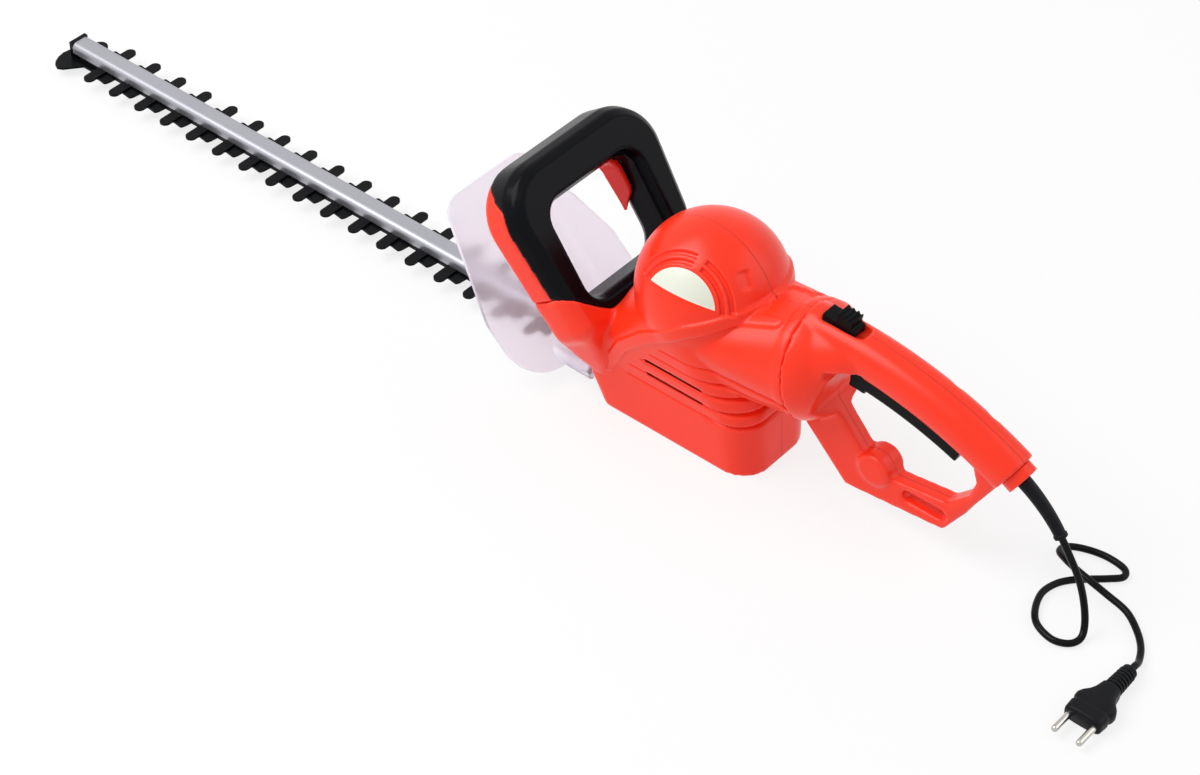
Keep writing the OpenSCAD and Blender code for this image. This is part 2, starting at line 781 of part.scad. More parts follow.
// Removes what the lugs would put in front of the guard and inside the housing
module guard_trim() {
    on_guard() translate([-60 + guard_t / 2, -100, -50]) cube([60, 200, 260]);
    hull() {
        casing_posts(foot_front, foot_rear, foot_y, -1, 0);
        casing_posts(mid_front, mid_rear, mid_y, mid_z, 0);
    }
}
module guard_screws() {
    color("silver") for (side = [-1, 1]) translate([foot_front - 15, side * lug_y, lug_z])
        rotate([0, -90, 0]) screw(3.2, 2.4, 1.6, 16);
}

// Blades, bar and tip
last_tooth = foot_front - 83;
function tooth_at(i) = last_tooth - pitch * (teeth - 1 - i);
bar_tip = tooth_at(0) - 35;
blade_tip = tooth_at(0) - 27;
bar_end = gear_x - 22.5;
finger_r = 4.7;
step_l = 14;
yoke_x = cam_reach + stroke + lever_gap;
yoke_y = cam_reach + lever_gap;
yoke_rim = 5;
bolts = [for (k = [0:floor((teeth - 1) / 4)]) tooth_at(4 * k) - pitch / 2];
tip_plate_t = 2;
bolt_head_t = 2.6;

module blade_strip() {
    difference() {
        union() {
            translate([blade_tip, -strip_w / 2])
                square([gear_x - yoke_x - blade_tip - 1, strip_w]);
            translate([gear_x - yoke_x - yoke_rim, -yoke_y - yoke_rim])
                square([2 * (yoke_x + yoke_rim), 2 * (yoke_y + yoke_rim)]);
        }
        translate([gear_x - yoke_x, -yoke_y]) square([2 * yoke_x, 2 * yoke_y]);
        for (x = bolts) translate([x, 0])
            slot2d(-stroke - bolt_r - 0.6, stroke + bolt_r + 0.6, bolt_r + 0.3);
    }
}
module upper_blade() {
    color("#1c1d20") translate([0, 0, upper_blade_z]) linear_extrude(blade_t) {
        blade_strip();
        for (i = [0:teeth - 1]) for (side = [-1, 1]) translate([tooth_at(i), 0]) {
            translate([-finger_r, side < 0 ? finger_r - finger_reach : strip_w / 2 - 1])
                square([2 * finger_r, finger_reach - finger_r - strip_w / 2 + 1]);
            translate([0, side * (finger_reach - finger_r)]) circle(finger_r);
        }
    }
}
module lower_blade() {
    color("#141517") translate([0, 0, lower_blade_z]) linear_extrude(blade_t) {
        blade_strip();
        for (i = [0:teeth - 1]) for (side = [-1, 1]) translate([tooth_at(i), 0])
            rotate([0, 0, side < 0 ? 0 : 180]) polygon([[0, 1 - strip_w / 2], [0, 1 - step_reach],
                [step_l / 3, 1 - step_reach], [step_l * 0.9, -step_reach],
                [step_l, 3 - step_reach], [step_l + 1, 1 - strip_w / 2]]);
    }
}
module blade_bar() {
    r = 4;
    color("#b9bac0") difference() {
        translate([0, 0, bar_z]) stand(bar_tip, bar_end) {
            translate([-bar_w / 2, 0]) square([bar_w, bar_h - r]);
            translate([r - bar_w / 2, 0]) square([bar_w - 2 * r, bar_h]);
            for (side = [-1, 1]) translate([side * (bar_w / 2 - r), bar_h - r]) circle(r);
        }
        for (x = bolts) translate([x, 0, bar_z - 1]) cylinder(r = 2, h = bar_h - 1);
        for (x = tongue_screws) translate([x, 0, bar_z + 2]) cylinder(r = 1.6, h = bar_h);
    }
}
module blade_bolts() {
    color("#8c8d92") for (i = [0:len(bolts) - 1]) {
        seat = lower_blade_z - slide_gap - (i == 0 ? tip_plate_t : 0);
        translate([bolts[i], 0, 0]) {
            translate([0, 0, seat - bolt_head_t]) difference() {
                cylinder(r = 5.2, h = bolt_head_t);
                translate([0, 0, -1]) cylinder(r = 1.8, h = 2.4, $fn = 6);
            }
            translate([0, 0, seat]) cylinder(r = bolt_r, h = bar_z - seat);
            translate([0, 0, bar_z]) cylinder(r = 2, h = bar_h - 2);
        }
    }
}
module tip_guard() {
    plate_z = lower_blade_z - slide_gap - tip_plate_t;
    color("#17181a") difference() {
        translate([bar_tip, 0, plate_z]) {
            linear_extrude(tip_plate_t) {
                polygon([[32, -11.4], [15, -11.6], [9, -19], [4.4, -24.8], [0, -27.2], [-4.4, -25.3],
                    [-7.7, -21.7], [-10.4, -16.2], [-11.7, -9.6], [-10.5, -2], [-7, 4], [-3.6, 8.5],
                    [1, 12], [12, 11.6], [32, 11.4]]);
                translate([5, 16]) circle(6.5);
                translate([-1.5, 9]) square([13, 7]);
            }
            translate([-3.6, -bar_w / 2, 0]) cube([3.6, bar_w, bar_z + bar_h + 0.5 - plate_z]);
        }
        translate([bolts[0], 0, plate_z - 1]) cylinder(r = bolt_r, h = 4);
    }
}

// Gear case
tongue_screws = [foot_front - 10, foot_front + 3];
case_ears = [[gear_x - case_r * 0.74, case_r * 0.74], [motor_x + 6, tower_r + 2]];
module case_outline() {
    gear_case_outline();
    for (side = [-1, 1]) for (p = case_ears) translate([p[0], side * p[1]]) circle(r = 4.5);
}
module gear_housing() {
    floor_z = case_floor_z + case_floor_t;
    color("#9fa2a8") difference() {
        union() {
            translate([gear_x, 0, floor_z])
                cylinder(r = case_r, h = case_roof_z + case_roof_t - floor_z);
            translate([motor_x, 0, floor_z]) cylinder(r = tower_r, h = tower_z - floor_z);
            translate([0, 0, floor_z]) linear_extrude(6) case_outline();
        }
        translate([gear_x, 0, floor_z - 1]) cylinder(r = gear_tip_r + 1.2, h = case_roof_z - floor_z + 1);
        translate([motor_x, 0, floor_z - 1]) cylinder(r = 8, h = case_roof_z - floor_z + 1);
        translate([gear_x, 0, case_roof_z - 1]) cylinder(r = bearing_r, h = bearing_b + 1);
        translate([motor_x, 0, case_roof_z - 1]) cylinder(r = shaft_r + 3, h = tower_z);
        translate([motor_x, 0, tower_z - bearing_b]) cylinder(r = bearing_r, h = bearing_b + 1);
        for (side = [-1, 1]) for (p = case_ears)
            translate([p[0], side * p[1], floor_z - 1]) cylinder(r = 1.6, h = 6);
    }
}
module gearbox_cover() {
    color("#8f9298") difference() {
        translate([0, 0, case_floor_z]) linear_extrude(case_floor_t) {
            case_outline();
            translate([foot_front - 16, -cover_tongue_y])
                square([gear_x - foot_front, 2 * cover_tongue_y]);
        }
        translate([gear_x, 0, case_floor_z - 1]) cylinder(r = gear_shaft_r + 3, h = 10);
        for (x = tongue_screws) translate([x, 0, case_floor_z - 1]) cylinder(r = 1.6, h = 10);
        for (side = [-1, 1]) for (p = case_ears)
            translate([p[0], side * p[1], case_floor_z - 1]) cylinder(r = 1.6, h = 10);
    }
}
module gearbox_screws() {
    color("silver") {
        for (x = tongue_screws)
            translate([x, 0, case_floor_z + case_floor_t]) screw(3.2, 2.6, 1.6, 9);
        for (side = [-1, 1]) for (p = case_ears) translate([p[0], side * p[1], case_floor_z])
            rotate([180, 0, 0]) screw(3.2, 2.6, 1.6, 8);
    }
}
module bearing() {
    difference() {
        cylinder(r = bearing_r, h = bearing_b);
        translate([0, 0, -1]) cylinder(r = shaft_r + bore_gap, h = bearing_b + 2);
        for (z = [-1, bearing_b - 0.6]) translate([0, 0, z]) difference() {
            cylinder(r = bearing_r - 2.2, h = 1.6);
            translate([0, 0, -1]) cylinder(r = shaft_r + 2, h = 4);
        }
    }
}
module gear_bearing() {
    color("#c9ccd2") translate([gear_x, 0, case_roof_z]) bearing();
}
module motor_lower_bearing() {
    color("#c9ccd2") translate([motor_x, 0, tower_z - bearing_b]) bearing();
}
module motor_upper_bearing() {
    color("#c9ccd2") translate([motor_x, 0, top_bearing_z]) bearing();
}
module gear_bush() {
    color("#b08d4a") translate([gear_x, 0, case_floor_z]) difference() {
        cylinder(r = gear_shaft_r + 3, h = case_floor_t + 1.5);
        translate([0, 0, -1]) cylinder(r = gear_shaft_r + bore_gap, h = 10);
    }
}
module large_gear() {
    color("#7d7f85") translate([gear_x, 0, gear_z]) difference() {
        linear_extrude(gear_b) polygon(gear_outline(gear_teeth));
        translate([0, 0, -1]) cylinder(r = gear_shaft_r, h = gear_b + 2);
        for (k = [0:5]) rotate([0, 0, 60 * k + 30]) translate([gear_tip_r * 0.57, 0, -1])
            cylinder(r = 4, h = gear_b + 2);
    }
}
module eccentric_shaft() {
    top_z = case_roof_z - 0.5;
    color("#9b9da3") translate([gear_x, 0, 0]) {
        translate([0, 0, upper_blade_z + blade_t])
            cylinder(r = gear_shaft_r, h = top_z - upper_blade_z - blade_t);
        translate([0, 0, top_z]) cylinder(r = shaft_r, h = bearing_b);
        translate([0, stroke, blade_mid]) cylinder(r = cam_r, h = blade_t + slide_gap / 2);
        translate([0, -stroke, lower_blade_z]) cylinder(r = cam_r, h = blade_mid - lower_blade_z);
    }
}

// Motor
module armature_shaft() {
    step_z = gear_z + gear_b + 1;
    color("#a9abb0") translate([motor_x, 0, 0]) {
        translate([0, 0, gear_z - 1]) cylinder(r = 2, h = step_z - gear_z + 1.1);
        translate([0, 0, step_z]) cylinder(r = shaft_r, h = top_bearing_z + bearing_b - step_z);
    }
}
module pinion() {
    color("#6f7177") translate([motor_x, 0, gear_z - 1]) difference() {
        linear_extrude(gear_b + 2) polygon(gear_outline(pinion_teeth));
        translate([0, 0, -1]) cylinder(r = 2, h = gear_b + 4);
    }
}
module armature_core() {
    color("#6b6e75") translate([motor_x, 0, core_z]) difference() {
        cylinder(r = armature_r, h = core_l);
        translate([0, 0, -1]) cylinder(r = shaft_r, h = core_l + 2);
        for (k = [0:11]) rotate([0, 0, 30 * k]) translate([armature_r - 5, -0.9, -1])
            cube([8, 1.8, core_l + 2]);
    }
}
module armature_windings() {
    color("#b5652b") for (z = [core_z - winding_l, core_z + core_l])
        translate([motor_x, 0, z]) difference() {
            cylinder(r = armature_r - 3, h = winding_l);
            translate([0, 0, -1]) cylinder(r = shaft_r, h = winding_l + 2);
        }
}
module commutator() {
    color("#c07a3a") translate([motor_x, 0, commutator_z]) difference() {
        cylinder(r = commutator_r, h = commutator_l);
        translate([0, 0, -1]) cylinder(r = shaft_r, h = commutator_l + 2);
        for (k = [0:15]) rotate([0, 0, 22.5 * k]) translate([commutator_r - 0.7, -0.25, 2])
            cube([3, 0.5, commutator_l]);
    }
}
fan_r = stator_r - 3;
module cooling_fan() {
    color("#2d3036") translate([motor_x, 0, fan_z]) difference() {
        union() {
            cylinder(r = fan_r, h = 2);
            cylinder(r = shaft_r + 4, h = fan_b);
            for (k = [0:10]) rotate([0, 0, 360 / 11 * k]) translate([shaft_r + 3, -0.8, 1])
                cube([fan_r - shaft_r - 5, 1.6, fan_b - 1]);
        }
        translate([0, 0, -1]) cylinder(r = shaft_r, h = fan_b + 2);
    }
}
yoke_in = stator_r - 8;
shoe_in = armature_r + air_gap;
shoe_out = shoe_in + 4.4;
module pole_pair(from_r, to_r, half_angle) {
    for (turn = [0, 180]) rotate([0, 0, turn - half_angle])
        rotate_extrude(angle = 2 * half_angle, $fn = 96) translate([from_r, 0])
            square([to_r - from_r, core_l]);
}
module stator_core() {
    color("#7a7d84") translate([motor_x, 0, core_z]) {
        rotate([0, 0, 90]) difference() {
            cylinder(r = stator_r, h = core_l);
            translate([0, 0, -1]) cylinder(r = yoke_in, h = core_l + 2);
        }
        pole_pair(shoe_in, shoe_out, 50);
        pole_pair(shoe_out - 0.1, yoke_in + 0.1, 24);
    }
}
module field_coils() {
    gap = 0.2;
    color("#a85a26") translate([motor_x, 0, core_z - winding_l]) for (turn = [0, 180])
        rotate([0, 0, turn]) difference() {
            rotate([0, 0, -56]) rotate_extrude(angle = 112, $fn = 96)
                translate([shoe_out + gap, 0])
                square([yoke_in - shoe_out - 2 * gap, core_l + 2 * winding_l]);
            rotate([0, 0, -25]) rotate_extrude(angle = 50, $fn = 96)
                translate([shoe_out - 2, winding_l - 0.1])
                square([20, core_l + 0.2]);
        }
}
module motor_end_bracket() {
    band = bracket_r - bearing_cup_r;
    color("#4a4d54") translate([motor_x, 0, top_bearing_z]) difference() {
        union() {
            translate([0, 0, -bracket_t / 2]) cylinder(r = bracket_r, h = bracket_t);
            translate([0, 0, -bracket_t / 2]) cylinder(r = bearing_cup_r, h = bearing_b + bracket_t);
        }
        translate([0, 0, -3]) cylinder(r = bearing_r, h = bearing_b + 3);
        translate([0, 0, -3]) cylinder(r = shaft_r + 3, h = bearing_b + 10);
        for (k = [0:3]) rotate([0, 0, 90 * k + 45]) translate([bearing_cup_r + band / 2, 0, -3])
            cylinder(r = band / 4, h = bearing_b + 10);
    }
}
brush_w = 5;
brush_h = 7;
module each_brush() {
    for (side = [-1, 1]) translate([motor_x, 0, brush_z]) rotate([0, 0, 90 * side]) children();
}
module brush_holders() {
    color("#b89a4e") each_brush() difference() {
        union() {
            translate([commutator_r + 3, -brush_w / 2 - 1.4, -brush_h / 2 - 1.4])
                cube([20, brush_w + 2.8, brush_h + 2.8]);
            translate([commutator_r + 8, -brush_w / 2 - 1.4, 0])
                cube([6, brush_w + 2.8, top_bearing_z - 2 - brush_z]);
        }
        translate([0, -brush_w / 2, -brush_h / 2]) cube([commutator_r + 21, brush_w, brush_h]);
    }
}
module carbon_brushes() {
    color("#3b3c40") each_brush() translate([commutator_r + 0.2, -brush_w / 2 + 0.1, -brush_h / 2 + 0.1])
        cube([12, brush_w - 0.2, brush_h - 0.2]);
}
module brush_springs() {
    color("silver") each_brush() translate([commutator_r + 12.2, 0, 0]) rotate([0, 90, 0]) difference() {
        cylinder(r = 2.2, h = 8.8);
        translate([0, 0, -1]) cylinder(r = 1.6, h = 20);
    }
}
module body_wiring() {
    for (side = [-1, 1]) color(side < 0 ? "#3d6fb5" : "#7a4a2a") tube(smooth_route([
        [motor_x + 4.2, side * 28, brush_z], [motor_x + 20, side * 31, brush_z - 6],
        [motor_x + 40, side * 20, wire_z + 5], [neck_x - 29, side * 13, wire_z],
        [neck_x - 16, side * 6, neck_z + 3], [neck_x - 3, side * 3.5, neck_z - 1]], 3), 1.2, 8);
}

// Rear handle
function arc_point(a, r) = [arc_x + r * sin(a), arc_z + r * cos(a)];
handle_bosses = [concat(arc_point(1.2, grip_mid_r - 3), 11), concat(arc_point(16, grip_arc - 7.5), 9),
    concat(arc_point(21.5, grip_arc - 7.5), 9), [neck_x + 11, neck_z - neck_r - 2, 3.5],
    concat(knob_at, 3.5), [230.5, 50, 3.5]];
switch_low = grip_low_r + 15.5;
switch_h = 9.5;
front_plane = run_gap + lip_t;
capacitor_r = 5;
capacitor_l = 22;
capacitor_at = [neck_x + 10, neck_z + 27];

module arc_sweep(from, to) {
    sweep_about(arc_x, arc_z, from, to) children();
}
module grip_section(inset) {
    half = grip_w / 2 - inset;
    low = grip_low_r + inset;
    high = grip_arc - inset;
    crown = 14 - inset;
    base = 13 - inset;
    translate([low + base, -half]) square([high - low - crown - base, 2 * half]);
    translate([low, base - half]) square([high - low - crown, 2 * (half - base)]);
    translate([low + base, crown - half]) square([high - low - base, 2 * (half - crown)]);
    for (side = [-1, 1]) {
        translate([high - crown, side * (half - crown)]) circle(crown, $fn = 32);
        translate([low + base, side * (half - base)]) circle(base, $fn = 32);
    }
}
module hand_opening(grow) {
    intersection() {
        across(60) polygon(shrink(frame_gap, -grow));
        translate([arc_x, 0, arc_z]) rotate([90, 0, 0])
            cylinder(r = grip_low_r + grow, h = 200, center = true, $fn = 240);
    }
}
module knob(inset) {
    translate([knob_at[0], 0, knob_at[1]]) rotate([90, 0, 0])
        cylinder(r = knob_r - inset, h = frame_t + 6 - 2 * inset, center = true);
}
// Cone between the bulb and the start of the grip
shoulder_tilt = 30;
module shoulder(inset) {
    translate([bulb_x, 0, bulb_z]) rotate([0, 90 - shoulder_tilt, 0]) translate([0, 0, 20])
        cylinder(r1 = bulb_r - 8 - inset, r2 = grip_w / 2 - 2.5 - inset, h = 45, $fn = 64);
}
module handle_solid(inset) {
    difference() {
        union() {
            difference() {
                union() {
                    difference() {
                        union() {
                            translate([bulb_x, 0, bulb_z]) sphere(r = bulb_r - inset, $fn = 64);
                            shoulder(inset);
                            arc_sweep(-4, grip_end + 3) grip_section(inset);
                        }
                        on_neck() translate([0, 0, -60])
                            cylinder(r = neck_r + 20, h = 60 + (inset > 0 ? front_plane : run_gap));
                    }
                    across(frame_t / 2 - inset) polygon(shrink(frame_edge, inset));
                }
                hand_opening(inset);
            }
            knob(inset);
        }
        across(60) translate(hook_slot)
            slot2d(-slot_l / 2 - inset, slot_l / 2 + inset, slot_h / 2 + inset);
        on_outlet() translate([-60, -60, inset > 0 ? -wall : 0]) cube([120, 120, 60]);
    }
}
module handle_supports() {
    for (p = handle_bosses) translate([p[0], 0, p[1]]) rotate([90, 0, 0])
        cylinder(r = 4.5, h = 120, center = true);
    for (a = [6.4, 12.2]) arc_sweep(a, a + 0.5) translate([switch_low, -30]) square([40, 60]);
    arc_sweep(pivot_a - 1, pivot_a + 1) for (side = [-1, 1])
        translate([pivot_r - 5, side > 0 ? 8 : -38]) square([10, 30]);
    on_outlet() translate([cord_r - 0.6, -30, -16]) cube([20, 60, 8]);
    on_lock() box(-lock_l / 2 - 2, lock_l / 2 + 2, lock_w / 2 + 5, -lock_depth - 2, 20);
    translate([capacitor_at[0], 0, capacitor_at[1]])
        box(-3, capacitor_r + 3, 60, -capacitor_r - 3, 0);
}
module handle_cuts() {
    on_neck() cylinder(r = spigot_r, h = front_plane + 1);
    arc_sweep(trigger_front - 0.7, trigger_rear + 0.7)
        translate([grip_low_r - 4, -trigger_w / 2 - lever_gap])
        square([wall + 7, trigger_w + 2 * lever_gap]);
    for (p = handle_bosses) translate([p[0], 0, p[1]]) rotate([-90, 0, 0]) {
        translate([0, 0, -p[2]]) cylinder(r = 1.6, h = 2 * p[2]);
        translate([0, 0, p[2]]) cylinder(r = 3.4, h = 60);
    }
    on_arc(pivot_a, pivot_r) rotate([90, 0, 0])
        cylinder(r = pin_radius, h = grip_w - 6, center = true);
    on_outlet() {
        translate([0, 0, -30]) cylinder(r = cord_r, h = 40);
        for (side = [-1, 1]) translate([0, side * 7.5, -12]) rotate([0, 90, 0]) cylinder(r = 1.3, h = 6);
    }
    on_lock() {
        box(-lock_l / 2, lock_l / 2, lock_w / 2 + lever_gap, 2 - lock_depth, 20);
        box(-lock_l / 2, lock_l / 2, lock_w / 2 + 2.5, -lock_depth, 2.2 - lock_depth);
    }
    translate([capacitor_at[0], 0, capacitor_at[1]]) rotate([90, 0, 0])
        cylinder(r = capacitor_r, h = capacitor_l, center = true);
}
module handle_half(side) {
    intersection() {
        half_space(side);
        difference() {
            handle_solid(0);
            difference() {
                handle_solid(wall);
                handle_supports();
            }
            handle_cuts();
        }
    }
}
module rear_handle_left() {
    color("#f2452c") handle_half(-1);
}
module rear_handle_right() {
    color("#e63d25") handle_half(1);
}
module rear_handle_screws() {
    color("silver") for (p = handle_bosses) translate([p[0], p[2], p[1]]) rotate([-90, 0, 0])
        screw(3.1, 2.2, 1.6, 2 * p[2] - 0.5);
}
module swivel_spigot() {
    from = -lip_t - run_gap - flange_t;
    to = front_plane + flange_t;
    color("#c7c9cd") on_neck() difference() {
        union() {
            translate([0, 0, from]) cylinder(r = spigot_r, h = to - from);
            translate([0, 0, from]) cylinder(r = flange_r, h = flange_t);
            translate([0, 0, front_plane]) cylinder(r = flange_r, h = flange_t);
        }
        translate([0, 0, from - 1]) cylinder(r = spigot_r - spigot_t, h = to - from + 2);
    }
}
module rear_switch() {
    color("#34363c") {
        arc_sweep(6.9, 12.2) translate([switch_low, -8]) square([switch_h, 16]);
        arc_sweep(8, 9) translate([switch_low - 0.8, -3]) square([2, 6]);
    }
}
module capacitor() {
    color("#c9a63a") translate([capacitor_at[0], 0, capacitor_at[1]]) rotate([90, 0, 0])
        cylinder(r = capacitor_r, h = capacitor_l, center = true);
}
module trigger_pin() {
    color("silver") on_arc(pivot_a, pivot_r) rotate([90, 0, 0])
        cylinder(r = pin_radius, h = grip_w - 7, center = true);
}
module trigger_spring() {
    color("#b7b9be") on_arc(pivot_a, pivot_r) {
        for (y = [3.4, 4.8, 6.2]) translate([0, y, 0]) rotate([-90, 0, 0]) difference() {
            cylinder(r = pin_radius + 1.5, h = 1.4);
            translate([0, 0, -1]) cylinder(r = pin_radius + 0.3, h = 4);
        }
        translate([pin_radius + 1.1, 4.2, 0]) rotate([0, -12, 0]) cylinder(r = 0.5, h = 13);
    }
}
module trigger() {
    low = grip_low_r - trigger_d;
    color("#17181c") {
        arc_sweep(trigger_front, trigger_rear) {
            rounded_rect(low, trigger_top_r, -trigger_w / 2, trigger_w / 2, 3);
            translate([trigger_top_r - 2.8, -trigger_w / 2 - 2]) square([2.8, trigger_w + 4]);
        }
        arc_sweep(trigger_front, trigger_front + 2.4)
            rounded_rect(low - 3, low + 6, -trigger_w / 2, trigger_w / 2, 3);
        difference() {
            union() {
                arc_sweep(trigger_rear - 1, pivot_a) translate([trigger_top_r - 4, -3]) square([8, 6]);
                on_arc(pivot_a, pivot_r) rotate([90, 0, 0]) cylinder(r = eye_r, h = 6, center = true);
            }
            on_arc(pivot_a, pivot_r) rotate([90, 0, 0])
                cylinder(r = pin_radius + bore_gap, h = 8, center = true);
        }
    }
}
module lock_slider() {
    front = -lock_l / 2 + lever_gap;
    rear = lock_l / 2 - lock_travel - lever_gap;
    color("#24252a") on_lock() difference() {
        union() {
            box(front, rear, lock_w / 2 + 2, slide_gap - lock_depth, 1.9 - lock_depth);
            box(front, rear, lock_w / 2, 1 - lock_depth, 1);
            box(front + lock_flat, rear - 3, lock_w / 2, 0, lock_block_h);
        }
        for (k = [0:2]) translate([front + lock_flat + 2 + 4 * k, 0, 0])
            box(0, 2, lock_w, lock_block_h - 1.5, 30);
    }
}
module handle_wiring() {
    inner = [for (a = [24.4, 18, 12.8]) arc_point(a, switch_low + 1.2)];
    front = [for (a = [6.2, 4.4]) arc_point(a, switch_low + 3)];
    steps = 8;
    inner_end = [for (s = [-20, -8, collar_l - 2])
        [outlet_x + s * cos(outlet_tilt), 0, outlet_z - s * sin(outlet_tilt)]];
    bend = [for (k = [0:steps]) let (a = outlet_tilt + (sleeve_end - outlet_tilt) * k / steps)
        [sleeve_cx + sleeve_bend_r * sin(a), 0, sleeve_cz + sleeve_bend_r * cos(a)]];
    color("#2b2c31") tube(concat(inner_end, bend), cord_r, 10);
    for (side = [-1, 1]) color(side < 0 ? "#3d6fb5" : "#7a4a2a") {
        tube(smooth_route([for (p = inner) [p[0], side * 3, p[1]]], 3), 1.2, 8);
        tube(smooth_route(concat([for (p = front) [p[0], side * 4, p[1]]],
            [[neck_x + 25, side * 5, neck_z + 22], [neck_x + 17, side * 5, neck_z + 9],
                [neck_x + 10, side * 4, neck_z + 2], [neck_x + 3, side * 3.5, neck_z + 0.5]]), 3), 1.2, 8);
    }
}
module cord_clamp() {
    color("#5a5c62") on_outlet() {
        translate([-cord_r - 3, -11, -16]) cube([3, 22, 8]);
        for (side = [-1, 1]) translate([-cord_r - 3, side * 7.5, -12]) rotate([0, -90, 0])
            screw(2.6, 1.8, 1.3, 9);
    }
}
module cord_collar() {
    color("#e8412a") on_outlet() difference() {
        cylinder(r = collar_r, h = collar_l);
        translate([0, 0, -1]) cylinder(r = cord_r, h = collar_l + 2);
    }
}
module cord_sleeve() {
    color("#1a1b1f") difference() {
        sweep_about(sleeve_cx, sleeve_cz, outlet_tilt, sleeve_end)
            translate([sleeve_bend_r, 0]) circle(sleeve_r);
        sweep_about(sleeve_cx, sleeve_cz, outlet_tilt - 1, sleeve_end + 1)
            translate([sleeve_bend_r, 0]) circle(cord_r, $fn = 32);
    }
}
module cord() {
    color("#1b1c20") tube(smooth_route(cord_route, 2), cord_r, 10);
}
module plug_body() {
    nose = plug_y - plug_l;
    color("#1d1e22") difference() {
        union() {
            hull() {
                translate([plug_x - plug_w / 2, nose, 0]) cube([plug_w, 4, plug_h]);
                translate([plug_x - plug_w / 4, plug_y - 4, 1.5]) cube([plug_w / 2, 4, plug_h - 3]);
            }
            translate([plug_x, plug_y - 1, pin_z]) rotate([-90, 0, 0])
                cylinder(r1 = 5.4, r2 = cord_r + 1.4, h = plug_neck_l + 1);
        }
        for (side = [-1, 1]) translate([plug_x + side * pin_gap / 2, nose - 1, pin_z]) rotate([-90, 0, 0])
            cylinder(r = pin_r, h = 11);
    }
}
module plug_pins() {
    color("#c9b27a") for (side = [-1, 1]) translate([plug_x + side * pin_gap / 2, 0, pin_z])
        rotate([90, 0, 0]) {
            translate([0, 0, plug_l - plug_y - 10]) cylinder(r = pin_r, h = 10 + pin_l - pin_r);
            translate([0, 0, plug_l - plug_y + pin_l - pin_r]) sphere(r = pin_r);
        }
}

housing_left();
housing_right();
bottom_cover();
bottom_cover_screws();
housing_screws();
label_plate();
front_handle_rear_shell();
front_handle_front_shell();
front_handle_screws();
hand_guard();
guard_screws();
blade_bar();
blade_bolts();
tip_guard();
gear_housing();
gearbox_cover();
gearbox_screws();
gear_bearing();
gear_bush();
motor_lower_bearing();
motor_upper_bearing();
motor_end_bracket();
stator_core();
field_coils();
brush_holders();
carbon_brushes();
brush_springs();
front_switch();
lever_springs();
body_wiring();
armature_shaft();
pinion();
armature_core();
armature_windings();
commutator();
cooling_fan();
large_gear();
eccentric_shaft();
upper_blade();
lower_blade();
front_lever();
rear_handle_left();
rear_handle_right();
rear_handle_screws();
swivel_spigot();
rear_switch();
capacitor();
trigger_pin();
trigger_spring();
trigger();
lock_slider();
handle_wiring();
cord_clamp();
cord_collar();
cord_sleeve();
cord();
plug_body();
plug_pins();
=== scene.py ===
"""A corded hedge trimmer with a looped front handle and a rear handle that swivels.

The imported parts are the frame. This file gives each of them its finish, replaces the moulded
shells with soft-edged ones, and adds the camera, the lights and the floor.
"""

import json
import logging
import math
from contextlib import contextmanager
from dataclasses import dataclass, field, replace
from enum import Enum
from typing import Callable, Iterable, Iterator

import bpy
import numpy as np
from mathutils import Matrix, Vector


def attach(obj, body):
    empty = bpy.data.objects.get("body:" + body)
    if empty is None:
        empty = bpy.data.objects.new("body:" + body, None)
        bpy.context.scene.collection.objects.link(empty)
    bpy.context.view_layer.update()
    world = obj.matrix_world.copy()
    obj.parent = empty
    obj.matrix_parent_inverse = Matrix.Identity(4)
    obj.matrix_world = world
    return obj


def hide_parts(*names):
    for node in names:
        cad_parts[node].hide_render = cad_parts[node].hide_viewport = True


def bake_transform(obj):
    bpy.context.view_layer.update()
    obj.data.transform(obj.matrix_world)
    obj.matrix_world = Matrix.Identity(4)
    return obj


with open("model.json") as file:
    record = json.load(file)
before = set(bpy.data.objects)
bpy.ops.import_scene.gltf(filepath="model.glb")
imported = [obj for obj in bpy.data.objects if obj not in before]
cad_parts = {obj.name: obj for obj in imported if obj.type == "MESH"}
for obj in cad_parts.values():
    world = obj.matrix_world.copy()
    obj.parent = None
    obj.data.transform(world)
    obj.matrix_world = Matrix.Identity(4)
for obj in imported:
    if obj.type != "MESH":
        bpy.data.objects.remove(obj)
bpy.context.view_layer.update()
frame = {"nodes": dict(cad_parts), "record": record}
Tree = bpy.types.NodeTree
Socket = bpy.types.NodeSocket
Piece = bpy.types.Object
Triple = tuple[float, float, float]
MM = 0.001
THIN_SHEET_IOR = 1.12
MERGE_MM = 0.002  # packed corners closer than this are one point
FLAT_ANGLE = 1.0  # faces that meet under this many degrees are one flat
WAVE_TURN = 6.28  # turns a wave texture's scale into bands for each metre
SOFT_STEPS = 5  # how many strengths a softened region fades through
WHITE = (1, 1, 1, 1)
LOG = logging.getLogger("hedge_trimmer")


# ---------------------------------------------------------------- finishes


def linear(colour: str) -> tuple[float, float, float, float]:
    """Turn an sRGB hex colour into linear values.

    Args:
        colour: Six hex digits, with or without a leading hash.

    Returns:
        Linear red, green, blue and an alpha of one.
    """
    code = colour.lstrip("#")
    channels = [int(code[i : i + 2], 16) / 255 for i in (0, 2, 4)]
    turned = [c / 12.92 if c <= 0.04045 else ((c + 0.055) / 1.055) ** 2.4 for c in channels]
    return (*turned, 1.0)


